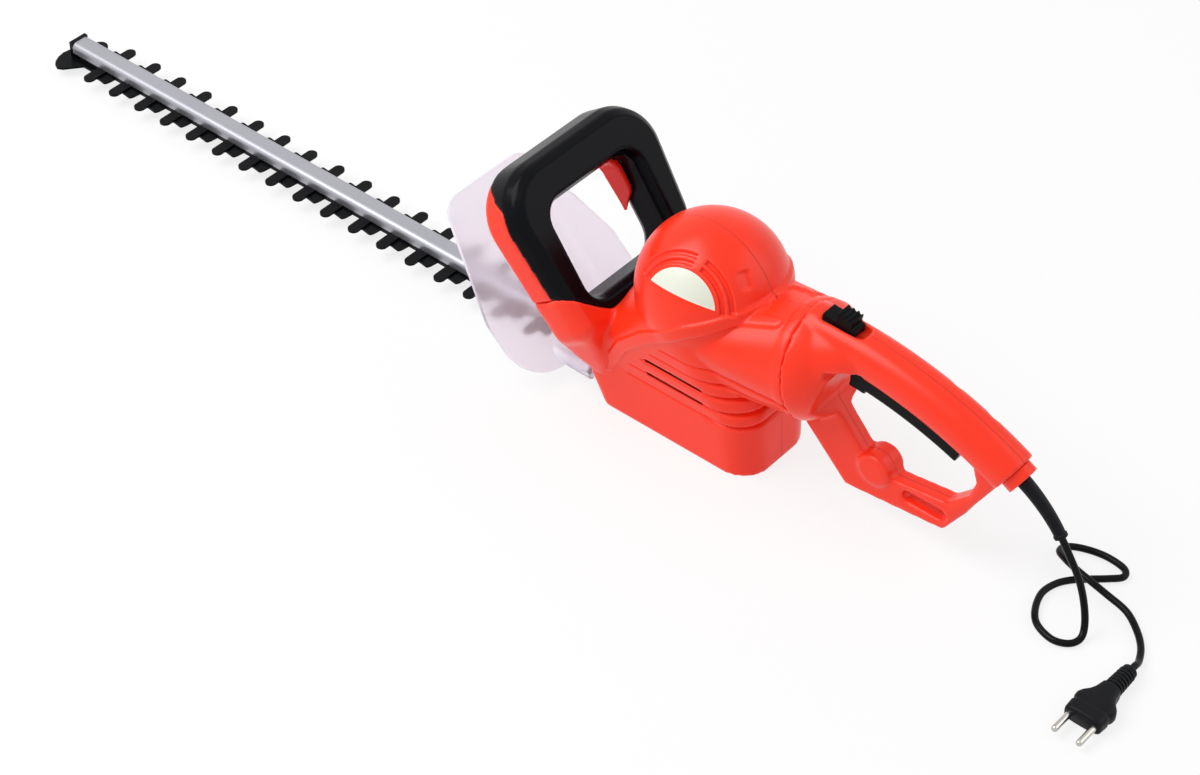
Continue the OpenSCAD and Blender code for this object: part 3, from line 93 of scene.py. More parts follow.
def add_node(
    tree: Tree, kind: str, settings: dict | None = None, links: dict | None = None
) -> bpy.types.Node:
    """Add one node with its settings and its incoming links.

    Args:
        tree: The node tree.
        kind: The node's Blender type.
        settings: Values by property name, or by the name or number of an input socket.
        links: Output sockets by the name or number of the input that they feed.

    Returns:
        The new node.
    """
    node = tree.nodes.new(kind)
    for key, value in (settings or {}).items():
        if isinstance(key, str) and hasattr(node, key):
            setattr(node, key, value)
        else:
            node.inputs[key].default_value = value
    for key, source in (links or {}).items():
        tree.links.new(source, node.inputs[key])
    return node


class Surface(Enum):
    """How a real surface was made, which sets its pattern."""

    MOULDED = "moulded"
    BRUSHED = "brushed"
    CAST = "cast"
    LAMINATED = "laminated"
    WOUND = "wound"


@dataclass(frozen=True)
class Finish:
    """The look of one real material.

    Args:
        name: The real material and how its surface was made.
        colour: Its main colour.
        drift: The colour that broad faint patches of it lean towards.
        roughness: Its mean roughness.
        metallic: One for bare metal.
        surface: How the surface was made.
        grain_mm: The size of its grain.
        relief_mm: The height of its grain.
        coat: The weight of a clear skin over it.
        seam: Whether a parting line runs over it along the middle of the object.
        shine: The strength of its mirror reflection; half is usual.
        clear: The share of light that passes through it, which a rough surface blurs.
    """

    name: str
    colour: str
    drift: str
    roughness: float
    metallic: float = 0.0
    surface: Surface = Surface.MOULDED
    grain_mm: float = 0.9
    relief_mm: float = 0.012
    coat: float = 0.0
    seam: bool = False
    shine: float = 0.5
    clear: float = 0.0

    def pattern(self, tree: Tree, place: Socket) -> Socket:
        """Draw the fine pattern of the surface.

        Args:
            tree: The material's node tree.
            place: The object's own coordinates.

        Returns:
            The pattern's height, from zero to one.
        """
        per_metre = 1 / (self.grain_mm * MM)
        if self.surface is Surface.LAMINATED:
            wave = add_node(tree, "ShaderNodeTexWave", {"bands_direction": "Z",
                            "Scale": per_metre / WAVE_TURN, "Distortion": 0.15}, {"Vector": place})
            return wave.outputs["Fac"]
        if self.surface is Surface.WOUND:
            lean = add_node(tree, "ShaderNodeMapping", {"Rotation": (0.5, 0.9, 0.3)}, {"Vector": place})
            wave = add_node(tree, "ShaderNodeTexWave", {"Scale": per_metre / WAVE_TURN,
                            "Distortion": 0.8, "Detail": 1.0}, {"Vector": lean.outputs["Vector"]})
            return wave.outputs["Fac"]
        stretch = {Surface.BRUSHED: (0.02, 1.0, 1.0)}.get(self.surface, (1.0, 1.0, 1.0))
        moved = add_node(tree, "ShaderNodeMapping", {"Scale": stretch}, {"Vector": place})
        detail = {Surface.CAST: 4.0, Surface.BRUSHED: 3.0}.get(self.surface, 2.0)
        noise = add_node(tree, "ShaderNodeTexNoise", {"Scale": per_metre, "Detail": detail,
                         "Roughness": 0.6}, {"Vector": moved.outputs["Vector"]})
        return noise.outputs["Fac"]

    def material(self) -> bpy.types.Material:
        """Build the material, or return it if it is there already.

        Returns:
            The material.
        """
        known = bpy.data.materials.get(self.name)
        if known is not None:
            return known
        made = bpy.data.materials.new(self.name)
        made.use_nodes = True
        tree = made.node_tree
        tree.nodes.clear()
        place = add_node(tree, "ShaderNodeTexCoord").outputs["Object"]
        height = self.pattern(tree, place)
        patches = add_node(tree, "ShaderNodeTexNoise", {"Scale": 14.0, "Detail": 3.0}, {"Vector": place})
        colour = add_node(tree, "ShaderNodeMix", {"data_type": "RGBA", 6: linear(self.colour),
                          7: linear(self.drift)}, {0: patches.outputs["Fac"]}).outputs[2]
        # Paler on convex edges, picked out by pointiness: partly slight wear on the edges, partly a painted
        # highlight where round edges catch the light.
        edge_wear_and_highlight = add_node(tree, "ShaderNodeMapRange", {"From Min": 0.51, "From Max": 0.62, "To Max": 0.28},
                        {"Value": add_node(tree, "ShaderNodeNewGeometry").outputs["Pointiness"]})
        pale = add_node(tree, "ShaderNodeHueSaturation", {"Value": 1.5, "Saturation": 0.85},
                        {"Color": colour})
        colour = add_node(tree, "ShaderNodeMix", {"data_type": "RGBA"},
                          {0: edge_wear_and_highlight.outputs["Result"], 6: colour, 7: pale.outputs["Color"]}).outputs[2]
        spread = 0.1 if self.surface is Surface.MOULDED else 0.16
        rough = add_node(tree, "ShaderNodeMapRange", {"To Min": self.roughness - spread / 2,
                         "To Max": self.roughness + spread / 2}, {"Value": height})
        bump = add_node(tree, "ShaderNodeBump", {"Strength": 0.6, "Distance": self.relief_mm * MM},
                        {"Height": height})
        normal = bump.outputs["Normal"]
        if self.seam:
            colour, normal = self.parting_line(tree, place, colour, normal)
        skin = add_node(tree, "ShaderNodeBsdfPrincipled", {
            "Metallic": self.metallic, "Coat Weight": self.coat, "Coat Roughness": 0.2,
            "Specular IOR Level": self.shine, "Transmission Weight": self.clear,
        }, {"Base Color": colour, "Roughness": rough.outputs["Result"], "Normal": normal})
        if self.clear:
            skin.inputs["IOR"].default_value = THIN_SHEET_IOR
        add_node(tree, "ShaderNodeOutputMaterial", None, {"Surface": skin.outputs["BSDF"]})
        return made

    def parting_line(
        self,
        tree: Tree,
        place: Socket,
        colour: Socket,
        normal: Socket,
    ) -> tuple[Socket, Socket]:
        """Draw the fine dark joint between the left and right mouldings.

        Args:
            tree: The material's node tree.
            place: The object's own coordinates.
            colour: The colour beside the joint.
            normal: The normal beside the joint.

        Returns:
            The colour and the normal with the joint in them.
        """
        across = add_node(tree, "ShaderNodeSeparateXYZ", None, {0: place}).outputs["Y"]
        distance = add_node(tree, "ShaderNodeMath", {"operation": "ABSOLUTE"}, {0: across})
        line = add_node(tree, "ShaderNodeMapRange", {"From Min": 0.08 * MM, "From Max": 0.3 * MM,
                        "To Min": 1.0, "To Max": 0.0}, {"Value": distance.outputs[0]}).outputs["Result"]
        dark = add_node(tree, "ShaderNodeHueSaturation", {"Value": 0.7}, {"Color": colour})
        colour = add_node(tree, "ShaderNodeMix", {"data_type": "RGBA"},
                          {0: line, 6: colour, 7: dark.outputs["Color"]}).outputs[2]
        sunk = add_node(tree, "ShaderNodeBump", {"Distance": 0.4 * MM, "invert": True},
                        {"Height": line, "Normal": normal})
        return colour, sunk.outputs["Normal"]


# Each slot of the record, with the finish of what the real part is made of.
FINISHES: dict[str, Finish] = {
    # Orange-red ABS with a soft gloss: wide clean highlights over a spark-eroded grain.
    "body_red": Finish("moulded_red_abs", "#FF3A1E", "#FA3016", 0.3, shine=0.3, seam=True),
    # Black glass-filled nylon: near black, with a soft shine on its round edges.
    "handle_black": Finish("moulded_black_nylon", "#06070B", "#090A0F", 0.24, relief_mm=0.008, shine=0.08),
    # The same red in a polished tool: the lever shows sharper highlights.
    "lever_red": Finish("polished_red_abs", "#FF2A18", "#F92412", 0.22, shine=0.35),
    # Satin black nylon of the trigger, the lock and the switches.
    "control_black": Finish("satin_black_nylon", "#060709", "#090A0D", 0.32, shine=0.08),
    # Dull dark grey nylon under the gearbox.
    "cover_grey": Finish("moulded_grey_nylon", "#2B2C30", "#313237", 0.55, relief_mm=0.03),
    # Frosted clear polycarbonate: milky, faintly pink, dark things show through as shadows.
    "guard_clear": Finish("frosted_polycarbonate", "#F6F3FA", "#F1EFF9", 0.42, relief_mm=0.008, clear=0.74),
    # Bare satin label film, with no print: white that fades to a pale green.
    "label_white": Finish("satin_label_film", "#EDEDEA", "#D6DBBE", 0.35, grain_mm=2.0, relief_mm=0.004),
    # Bright zinc plate on rolled screws: pale, slightly blue.
    "screw_steel": Finish("zinc_plated_steel", "#C4C7CC", "#AEB2BA", 0.3, 1.0, Surface.CAST, 0.5, 0.01),
    # Ground steel of gears and shafts: fine scratches along the work.
    "steel": Finish("ground_steel", "#B4B6BA", "#9A9DA3", 0.28, 1.0, Surface.BRUSHED, 0.5, 0.008),
    # Stacked sheets of electrical steel, drawn 1 mm thick so that they show.
    "core_steel": Finish("laminated_core_steel", "#85888F", "#70747B", 0.42, 1.0,
                         Surface.LAMINATED, 1.0, 0.08),
    # Hardened steel blackened in a salt bath: near black, with a faint oily gloss along the grinding.
    "blade_black": Finish("blackened_blade_steel", "#08090B", "#0D0E10", 0.38, 0.0,
                          Surface.BRUSHED, 0.8, 0.01, shine=0.08),
    # Extruded aluminium, satin anodised: fine lines along the bar.
    "bar_aluminium": Finish("anodised_aluminium", "#A8A8AE", "#9D9DA4", 0.48, 1.0,
                            Surface.BRUSHED, 0.7, 0.012),
    # Die-cast aluminium: grey, softly grained.
    "case_aluminium": Finish("die_cast_aluminium", "#A5A7AB", "#93969B", 0.5, 1.0, Surface.CAST, 1.2, 0.06),
    # Enamelled copper wire laid in turns, drawn 1 mm thick so that it shows.
    "copper": Finish("enamelled_copper_wire", "#B4602B", "#9C4A1E", 0.3, 0.8,
                     Surface.WOUND, 1.0, 0.3, coat=0.4),
    # Oil-filled sintered bronze: matt golden brown.
    "bearing_bronze": Finish("sintered_bronze", "#B08A4A", "#9C773C", 0.45, 1.0, Surface.CAST, 0.5, 0.03),
    # Pale moulded polyester that holds brushes and insulates.
    "insulator": Finish("moulded_pbt", "#D9D3C2", "#CFC8B4", 0.5, relief_mm=0.02),
    # Pressed graphite: dark grey with a soft metallic shine.
    "carbon": Finish("pressed_graphite", "#3A3B3F", "#2C2D31", 0.48, 0.3, Surface.CAST, 0.4, 0.02),
    # Grey glass-filled nylon of the fan.
    "fan_grey": Finish("moulded_fan_nylon", "#6B6E74", "#62656B", 0.5, relief_mm=0.03),
    # Yellow polyester film round the capacitor.
    "film_yellow": Finish("polyester_film", "#E5B62E", "#DCA922", 0.3, grain_mm=3.0, relief_mm=0.01),
    # Soft PVC of the inner wires.
    "wire_pvc": Finish("wire_pvc", "#3C68A8", "#345E9B", 0.45),
    # Black PVC sheath of the mains lead: smooth, with a long soft highlight.
    "cord_black": Finish("smooth_pvc_sheath", "#040506", "#08090A", 0.22, relief_mm=0.004, shine=0.12),
    # Soft black PVC moulded over the plug.
    "plug_black": Finish("soft_pvc", "#08090C", "#0D0E13", 0.42, relief_mm=0.012, shine=0.14),
    # Nickel-plated brass pins.
    "pin_brass": Finish("nickel_plated_brass", "#C3C2C0", "#B6B2AA", 0.2, 1.0, Surface.CAST, 0.6, 0.006),
}
# The red pieces that are moulded whole, without a joint along their middle.
WHOLE_RED = replace(FINISHES["body_red"], name="moulded_red_abs_whole", seam=False)
SLOTS: dict[str, str] = {row["node"]: row["material_slot"] for row in frame["record"]["subparts"]}


# ---------------------------------------------------------------- workshop


def deselect() -> None:
    """Leave edit mode and deselect every object."""
    if bpy.context.object is not None and bpy.context.object.mode != "OBJECT":
        bpy.ops.object.mode_set(mode="OBJECT")
    bpy.ops.object.select_all(action="DESELECT")


def take(piece: Piece) -> None:
    """Select one object alone and make it active."""
    deselect()
    piece.select_set(True)
    bpy.context.view_layer.objects.active = piece


@contextmanager
def editing(piece: Piece) -> Iterator[None]:
    """Hold a piece in edit mode with its whole mesh selected.

    Args:
        piece: The piece.
    """
    take(piece)
    bpy.ops.object.mode_set(mode="EDIT")
    bpy.ops.mesh.select_all(action="SELECT")
    yield
    bpy.ops.object.mode_set(mode="OBJECT")


def apply_modifier(piece: Piece, kind: str, **settings: object) -> None:
    """Add a modifier to a piece and apply it.

    Args:
        piece: The piece.
        kind: The modifier's Blender type.
        settings: The modifier's properties.
    """
    take(piece)
    modifier = piece.modifiers.new(kind.lower(), kind)
    for key, value in settings.items():
        setattr(modifier, key, value)
    bpy.ops.object.modifier_apply(modifier=modifier.name)


def place(piece: Piece) -> None:
    """Move an object's place into its mesh, so that it sits unturned at the origin."""
    take(piece)
    bpy.ops.object.transform_apply(location=True, rotation=True, scale=True)


def dress(piece: Piece, finish: Finish, smooth: float = 40.0) -> None:
    """Give a new piece its finish and smooth faces.

    Args:
        piece: The piece.
        finish: Its finish.
        smooth: The angle in degrees up to which edges look round.
    """
    take(piece)
    bpy.ops.object.shade_smooth_by_angle(angle=math.radians(smooth))
    piece.data.materials.clear()
    piece.data.materials.append(finish.material())


def copy_of(node: str, name: str) -> Piece:
    """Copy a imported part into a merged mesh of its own.

    Args:
        node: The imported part.
        name: The name of the copy.

    Returns:
        The copy, at the origin.
    """
    piece = bpy.data.objects.new(name, frame["nodes"][node].data.copy())
    bpy.context.scene.collection.objects.link(piece)
    with editing(piece):
        bpy.ops.mesh.remove_doubles(threshold=MERGE_MM * MM)
    return piece


def points_of(piece: Piece) -> np.ndarray:
    """Return the points of a piece's mesh in millimetres, one row each."""
    flat = np.empty(len(piece.data.vertices) * 3)
    piece.data.vertices.foreach_get("co", flat)
    return flat.reshape(-1, 3) / MM


def set_points(piece: Piece, points: np.ndarray) -> None:
    """Put points in millimetres back into a piece's mesh."""
    piece.data.vertices.foreach_set("co", (points * MM).ravel())
    piece.data.update()


def normals_of(piece: Piece) -> np.ndarray:
    """Return the normals at a piece's points, one row each."""
    flat = np.empty(len(piece.data.vertices) * 3)
    piece.data.vertex_normals.foreach_get("vector", flat)
    return flat.reshape(-1, 3)


def moulding(
    name: str, nodes: Iterable[str], voxel_mm: float, rounds: int = 5, overlap_mm: float = 0.3
) -> Piece:
    """Make one soft-edged moulding from packed shells.

    Args:
        name: The piece's name.
        nodes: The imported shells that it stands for; two halves meet on the middle plane.
        voxel_mm: The fineness of its new surface.
        rounds: How often its surface is eased.
        overlap_mm: How far halves reach over the middle plane, so that they join.

    Returns:
        The moulding.
    """
    halves = [copy_of(node, f"{name}.{i}") for i, node in enumerate(nodes)]
    if len(halves) > 1:
        for half in halves:
            points = points_of(half)
            side = np.sign(points[:, 1].mean())
            points[np.abs(points[:, 1]) < 0.02, 1] -= side * overlap_mm
            set_points(half, points)
        deselect()
        for half in halves:
            half.select_set(True)
        bpy.context.view_layer.objects.active = halves[0]
        bpy.ops.object.join()
    piece = halves[0]
    piece.name = name
    piece.data.materials.clear()
    apply_modifier(piece, "REMESH", mode="VOXEL", voxel_size=voxel_mm * MM, adaptivity=0.0)
    apply_modifier(piece, "SMOOTH", factor=0.5, iterations=rounds)
    return piece


def sculpt(piece: Piece, depth: Callable[[np.ndarray, np.ndarray], np.ndarray]) -> None:
    """Move the points of a piece along their normals.

    Args:
        piece: The piece.
        depth: Gives the move in millimetres from the points and their normals.
    """
    points, normals = points_of(piece), normals_of(piece)
    set_points(piece, points + normals * depth(points, normals)[:, None])


def refine(piece: Piece, wanted: Callable[[np.ndarray], np.ndarray]) -> None:
    """Split the faces of a piece in a region once, so that fine detail fits there.

    Args:
        piece: The piece.
        wanted: Tells, from the centres of the faces in millimetres, which are split.
    """
    take(piece)
    faces = piece.data.polygons
    flat = np.empty(len(faces) * 3)
    faces.foreach_get("center", flat)
    chosen = wanted(flat.reshape(-1, 3) / MM)
    bpy.ops.object.mode_set(mode="EDIT")
    bpy.ops.mesh.select_mode(type="FACE")
    bpy.ops.mesh.select_all(action="DESELECT")
    bpy.ops.object.mode_set(mode="OBJECT")
    faces.foreach_set("select", chosen)
    bpy.ops.object.mode_set(mode="EDIT")
    bpy.ops.mesh.subdivide(number_cuts=1)
    bpy.ops.object.mode_set(mode="OBJECT")


def soften(piece: Piece, weight: Callable[[np.ndarray], np.ndarray], rounds: int) -> None:
    """Ease a region of a piece's surface.

    Args:
        piece: The piece.
        weight: Gives, from the points in millimetres, how far each one takes part, from zero to one.
        rounds: How often the region is eased.
    """
    group = piece.vertex_groups.new(name="soft")
    steps = np.round(weight(points_of(piece)) * SOFT_STEPS).astype(int)
    for step in range(1, SOFT_STEPS + 1):
        group.add(np.nonzero(steps == step)[0].tolist(), step / SOFT_STEPS, "REPLACE")
    apply_modifier(piece, "SMOOTH", factor=0.5, iterations=rounds, vertex_group="soft")
    piece.vertex_groups.clear()


def ease(x: np.ndarray) -> np.ndarray:
    """Return a smooth step from zero to one over the same range."""
    t = np.clip(x, 0, 1)
    return t * t * (3 - 2 * t)


def distance_to_path(x: np.ndarray, z: np.ndarray, path: list[tuple[float, float]]) -> np.ndarray:
    """Measure the distance of points from a path of straight stretches.

    Args:
        x: Their places along X.
        z: Their places along Z.
        path: The corners of the path in the x-z plane.

    Returns:
        The distance of each point.
    """
    best = np.full(len(x), 1e9)
    for (x0, z0), (x1, z1) in zip(path, path[1:]):
        dx, dz = x1 - x0, z1 - z0
        t = np.clip(((x - x0) * dx + (z - z0) * dz) / (dx * dx + dz * dz), 0, 1)
        best = np.minimum(best, np.hypot(x - x0 - t * dx, z - z0 - t * dz))
    return best


def turned(name: str, sections: list[tuple[float, float]], sides: int = 32) -> Piece:
    """Model a round piece along Z by extruding and resizing a ring.

    Args:
        name: The piece's name.
        sections: The height and the radius of each ring in millimetres, upwards.
        sides: The number of sides of the ring.

    Returns:
        The piece, closed at both ends.
    """
    deselect()
    height, radius = sections[0]
    bpy.ops.mesh.primitive_circle_add(vertices=sides, radius=radius * MM, fill_type="NGON",
                                      location=(0, 0, height * MM))
    piece = bpy.context.object
    piece.name = name
    place(piece)
    with editing(piece):
        for above, wide in sections[1:]:
            step = (0, 0, (above - height) * MM)
            bpy.ops.mesh.extrude_region_move(TRANSFORM_OT_translate={"value": step})
            share = wide / radius
            bpy.ops.transform.resize(value=(share, share, 1), center_override=(0, 0, above * MM))
            height, radius = above, wide
        bpy.ops.mesh.select_all(action="SELECT")
        bpy.ops.mesh.normals_make_consistent(inside=False)
    return piece


def squared(piece: Piece, sections: list[Triple], power: float) -> None:
    """Turn a round piece along Z into one with flattened sides.

    Args:
        piece: The round piece.
        sections: The height, the half width and the half depth of sections in millimetres, upwards.
        power: One for an ellipse, and less for squarer sections.
    """
    points = points_of(piece)
    heights, widths, depths = np.array(sections).T
    angle = np.arctan2(points[:, 1], points[:, 0])
    for axis, turn, half in ((0, np.cos(angle), widths), (1, np.sin(angle), depths)):
        points[:, axis] = np.sign(turn) * np.abs(turn) ** power * np.interp(points[:, 2], heights, half)
    set_points(piece, points)


# ---------------------------------------------------------------- studio


@dataclass
class Studio:
    """The camera, the soft lights and the pale floor."""

    eye: Triple = (0.98411139, -1.26504440, 1.47842345)
    azimuth: float = 40.4562
    elevation: float = 42.261
    lens: float = 90.0
    ambient: float = 0.5
    key: float = 38.0
    fill: float = 10.0

    def camera(self) -> None:
        """Stand the camera at the viewing angle."""
        turn, tilt = math.radians(self.azimuth), math.radians(self.elevation)
        ahead = Vector((-math.sin(turn) * math.cos(tilt), math.cos(turn) * math.cos(tilt), -math.sin(tilt)))
        data = bpy.data.cameras.new("camera")
        data.lens, data.sensor_width, data.clip_end = self.lens, 36.0, 50.0
        camera = bpy.data.objects.new("camera", data)
        bpy.context.scene.collection.objects.link(camera)
        camera.location = self.eye
        camera.rotation_euler = ahead.to_track_quat("-Z", "Y").to_euler()
        bpy.context.scene.camera = camera

    def lamp(self, name: str, at: Triple, size: float, power: float) -> None:
        """Hang one soft square lamp that faces the object.

        Args:
            name: The lamp's name.
            at: Where it hangs, in metres.
            size: The length of its side, in metres.
            power: Its power in watts.
        """
        data = bpy.data.lights.new(name, "AREA")
        data.size, data.energy = size, power
        lamp = bpy.data.objects.new(name, data)
        bpy.context.scene.collection.objects.link(lamp)
        lamp.location = at
        aim = Vector((-0.1, 0.0, 0.08)) - Vector(at)
        lamp.rotation_euler = aim.to_track_quat("-Z", "Y").to_euler()

    def world(self) -> None:
        """Light the scene softly from all round, white where it is seen."""
        world = bpy.data.worlds.new("studio")
        bpy.context.scene.world = world
        world.use_nodes = True
        tree = world.node_tree
        tree.nodes.clear()
        seen = self.seen(tree)
        soft = add_node(tree, "ShaderNodeBackground", {"Color": WHITE, "Strength": self.ambient})
        white = add_node(tree, "ShaderNodeBackground", {"Color": WHITE, "Strength": 1.0})
        mixed = add_node(tree, "ShaderNodeMixShader", None,
                         {0: seen, 1: soft.outputs[0], 2: white.outputs[0]})
        add_node(tree, "ShaderNodeOutputWorld", None, {"Surface": mixed.outputs[0]})

    def seen(self, tree: Tree) -> Socket:
        """Return one where the eye, a mirror or clear plastic looks, and zero for other light.

        Args:
            tree: The node tree.

        Returns:
            The socket that carries it.
        """
        path = add_node(tree, "ShaderNodeLightPath")
        both = add_node(tree, "ShaderNodeMath", {"operation": "MAXIMUM"},
                        {0: path.outputs["Is Glossy Ray"], 1: path.outputs["Is Transmission Ray"]})
        return add_node(tree, "ShaderNodeMath", {"operation": "MAXIMUM"},
                        {0: path.outputs["Is Camera Ray"], 1: both.outputs[0]}).outputs[0]

    def floor(self) -> None:
        """Lay the pale floor, which keeps a faint shadow of the object."""
        deselect()
        bpy.ops.mesh.primitive_plane_add(size=30, location=(0, 0, -0.0002))
        floor = bpy.context.object
        floor.name = "floor"
        material = bpy.data.materials.new("pale_floor")
        material.use_nodes = True
        tree = material.node_tree
        tree.nodes.clear()
        matt = add_node(tree, "ShaderNodeBsdfDiffuse", {"Color": linear("#F2F2F2")})
        white = add_node(tree, "ShaderNodeEmission", {"Color": WHITE, "Strength": 1.0})
        share = add_node(tree, "ShaderNodeMath", {"operation": "MULTIPLY", 1: 0.8}, {0: self.seen(tree)})
        mixed = add_node(tree, "ShaderNodeMixShader", None,
                         {0: share.outputs[0], 1: matt.outputs[0], 2: white.outputs[0]})
        add_node(tree, "ShaderNodeOutputMaterial", None, {"Surface": mixed.outputs[0]})
        floor.data.materials.append(material)

    def build(self) -> None:
        """Set up the camera, the lights and the floor."""
        self.camera()
        self.world()
        self.lamp("key_lamp", (-0.9, -0.9, 1.9), 1.6, self.key)
        self.lamp("fill_lamp", (1.6, 1.2, 1.4), 1.8, self.fill)
        self.floor()
        bpy.context.scene.view_settings.view_transform = "Standard"
        LOG.info("studio ready")


# ---------------------------------------------------------------- mains lead


@dataclass
class MainsLead:
    """The cord from the rear handle to the plug on the ground, sizes in millimetres."""

    radius: float = 2.6
    start: Triple = (306.74, 0.0, 70.03)
    plug_x: float = 380.5
    plug_y: float = -40.0
    plug_z: float = 7.0
    plug_l: float = 35.0
    neck_l: float = 23.0
    plug_form: list[Triple] = field(default_factory=lambda: [
        (0, 13.0, 5.6), (0.9, 14.2, 6.8), (9, 14.8, 7.0), (11, 13.8, 6.8), (13.5, 15.3, 7.0),
        (17, 15.5, 7.0), (20, 14.2, 7.0), (24, 10.6, 7.0), (28, 8.6, 7.0), (32, 7.8, 6.9), (35, 7.2, 6.8)])
    bend_x: float = 219.82
    bend_z: float = 9.35
    bend_r: float = 106.0
    bend_from: float = 30.0
    bend_to: float = 55.0
    ribs: int = 6
    route: list[Triple] = field(default_factory=lambda: [
        (324, 0, 42), (331, -1, 24), (336, -5, 10), (338, -12, 4), (334, -20, 3), (323, -24, 3),
        (308, -19, 3), (299, -8, 3), (294, 7, 3), (296, 20, 3), (302, 30, 3), (311, 39, 3),
        (321, 48, 3), (328, 56, 3), (324, 63, 3), (309, 65, 3), (294, 62, 3), (283, 55, 4),
        (282, 46, 6), (292, 39, 9), (303, 35, 10), (315, 33, 9), (330, 32, 6), (348, 29, 4),
        (363, 19, 3), (373, 8, 3), (379, -4, 4), (380.5, -12, 7), (380.5, -17, 7)])

    def line(self, parts: int = 6) -> list[Vector]:
        """Draw the smooth centre line of the cord.

        Args:
            parts: The number of parts between two points of its route.

        Returns:
            The points of the line, in metres.
        """
        x, y, z = self.start
        knots = [Vector(p) for p in [self.start, (x + 6, y, z - 9), *self.route]]
        ends = [knots[0], *knots, knots[-1]]
        line = []
        for a, b, c, d in zip(ends, ends[1:], ends[2:], ends[3:]):
            for k in range(parts):
                t = k / parts
                line.append((2 * b + (c - a) * t + (2 * a - 5 * b + 4 * c - d) * t * t
                             + (3 * b - a - 3 * c + d) * t ** 3) / 2)
        return [p * MM for p in [*line, knots[-1]]]

    def cord(self) -> tuple[Piece, list[Vector]]:
        """Sweep the round sheath along the line.

        Returns:
            The cord, and the line that it follows.
        """
        line = self.line()
        curve = bpy.data.curves.new("mains_cord", "CURVE")
        curve.dimensions = "3D"
        curve.bevel_depth, curve.bevel_resolution, curve.use_fill_caps = self.radius * MM, 5, True
        spline = curve.splines.new("POLY")
        spline.points.add(len(line) - 1)
        for point, at in zip(spline.points, line):
            point.co = (*at, 1)
        cord = bpy.data.objects.new("mains_cord", curve)
        bpy.context.scene.collection.objects.link(cord)
        take(cord)
        bpy.ops.object.convert(target="MESH")
        cord = bpy.context.object
        dress(cord, FINISHES["cord_black"], 60)
        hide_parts("cord")
        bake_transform(cord)
        return cord, line

    def plug(self) -> list[Piece]:
        """Model the flat plug and its ribbed neck.

        Returns:
            The pieces of the plug.
        """
        body = turned("plug_block", [(z, 1.0) for z in np.linspace(0, self.plug_l, 36)])
        squared(body, self.plug_form, 0.55)
        body.rotation_euler = (-math.pi / 2, 0, 0)
        body.location = (self.plug_x * MM, (self.plug_y - self.plug_l) * MM, self.plug_z * MM)
        place(body)
        apply_modifier(body, "SMOOTH", factor=0.5, iterations=2)
        dress(body, FINISHES["plug_black"], 50)
        sections = [(-2.0, 6.8), (0.6, 6.8)]
        for k in range(self.ribs):
            foot, wide = 1.0 + 3.1 * k, 6.9 - 0.13 * k
            slim = wide - 1.1
            sections += [(foot, slim), (foot + 0.9, slim), (foot + 1.2, wide), (foot + 2.6, wide)]
        sections += [(19.8, 4.6), (20.4, 5.6), (22.4, 5.6), (self.neck_l, 4.9)]
        neck = turned("plug_neck", sections)
        neck.rotation_euler = (-math.pi / 2, 0, 0)
        neck.location = (self.plug_x * MM, self.plug_y * MM, self.plug_z * MM)
        place(neck)
        apply_modifier(neck, "BEVEL", width=0.25 * MM, segments=2, limit_method="ANGLE")
        dress(neck, FINISHES["plug_black"], 50)
        for piece in (body, neck):
            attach(piece, "trimmer_body")
            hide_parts("plug_body")
        return [body, neck, frame["nodes"]["plug_pins"]]

    def sleeve(self) -> None:
        """Model the tapered strain relief with its end ring and bend it along its arc."""
        length = math.radians(self.bend_to - self.bend_from) * self.bend_r
        sections = [(length * k / 12, 5.35 - 1.1 * k / 12) for k in range(12)]
        sections += [(length - 3.0, 4.2), (length - 2.7, 5.0), (length - 0.5, 5.0), (length, 4.4)]
        sleeve = turned("cord_sleeve_tapered", sections)
        apply_modifier(sleeve, "BEVEL", width=0.3 * MM, segments=2, limit_method="ANGLE")
        points = points_of(sleeve)
        angle = math.radians(self.bend_from) + points[:, 2] / self.bend_r
        reach = self.bend_r + points[:, 0]
        set_points(sleeve, np.column_stack([self.bend_x + reach * np.sin(angle), points[:, 1],
                                            self.bend_z + reach * np.cos(angle)]))
        with editing(sleeve):
            bpy.ops.mesh.normals_make_consistent(inside=False)
        dress(sleeve, FINISHES["plug_black"], 50)
        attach(sleeve, "rear_handle")
        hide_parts("cord_sleeve")

    def build(self) -> None:
        cord, line = self.cord()
        pieces = self.plug()
        self.sleeve()


# ---------------------------------------------------------------- motor housing


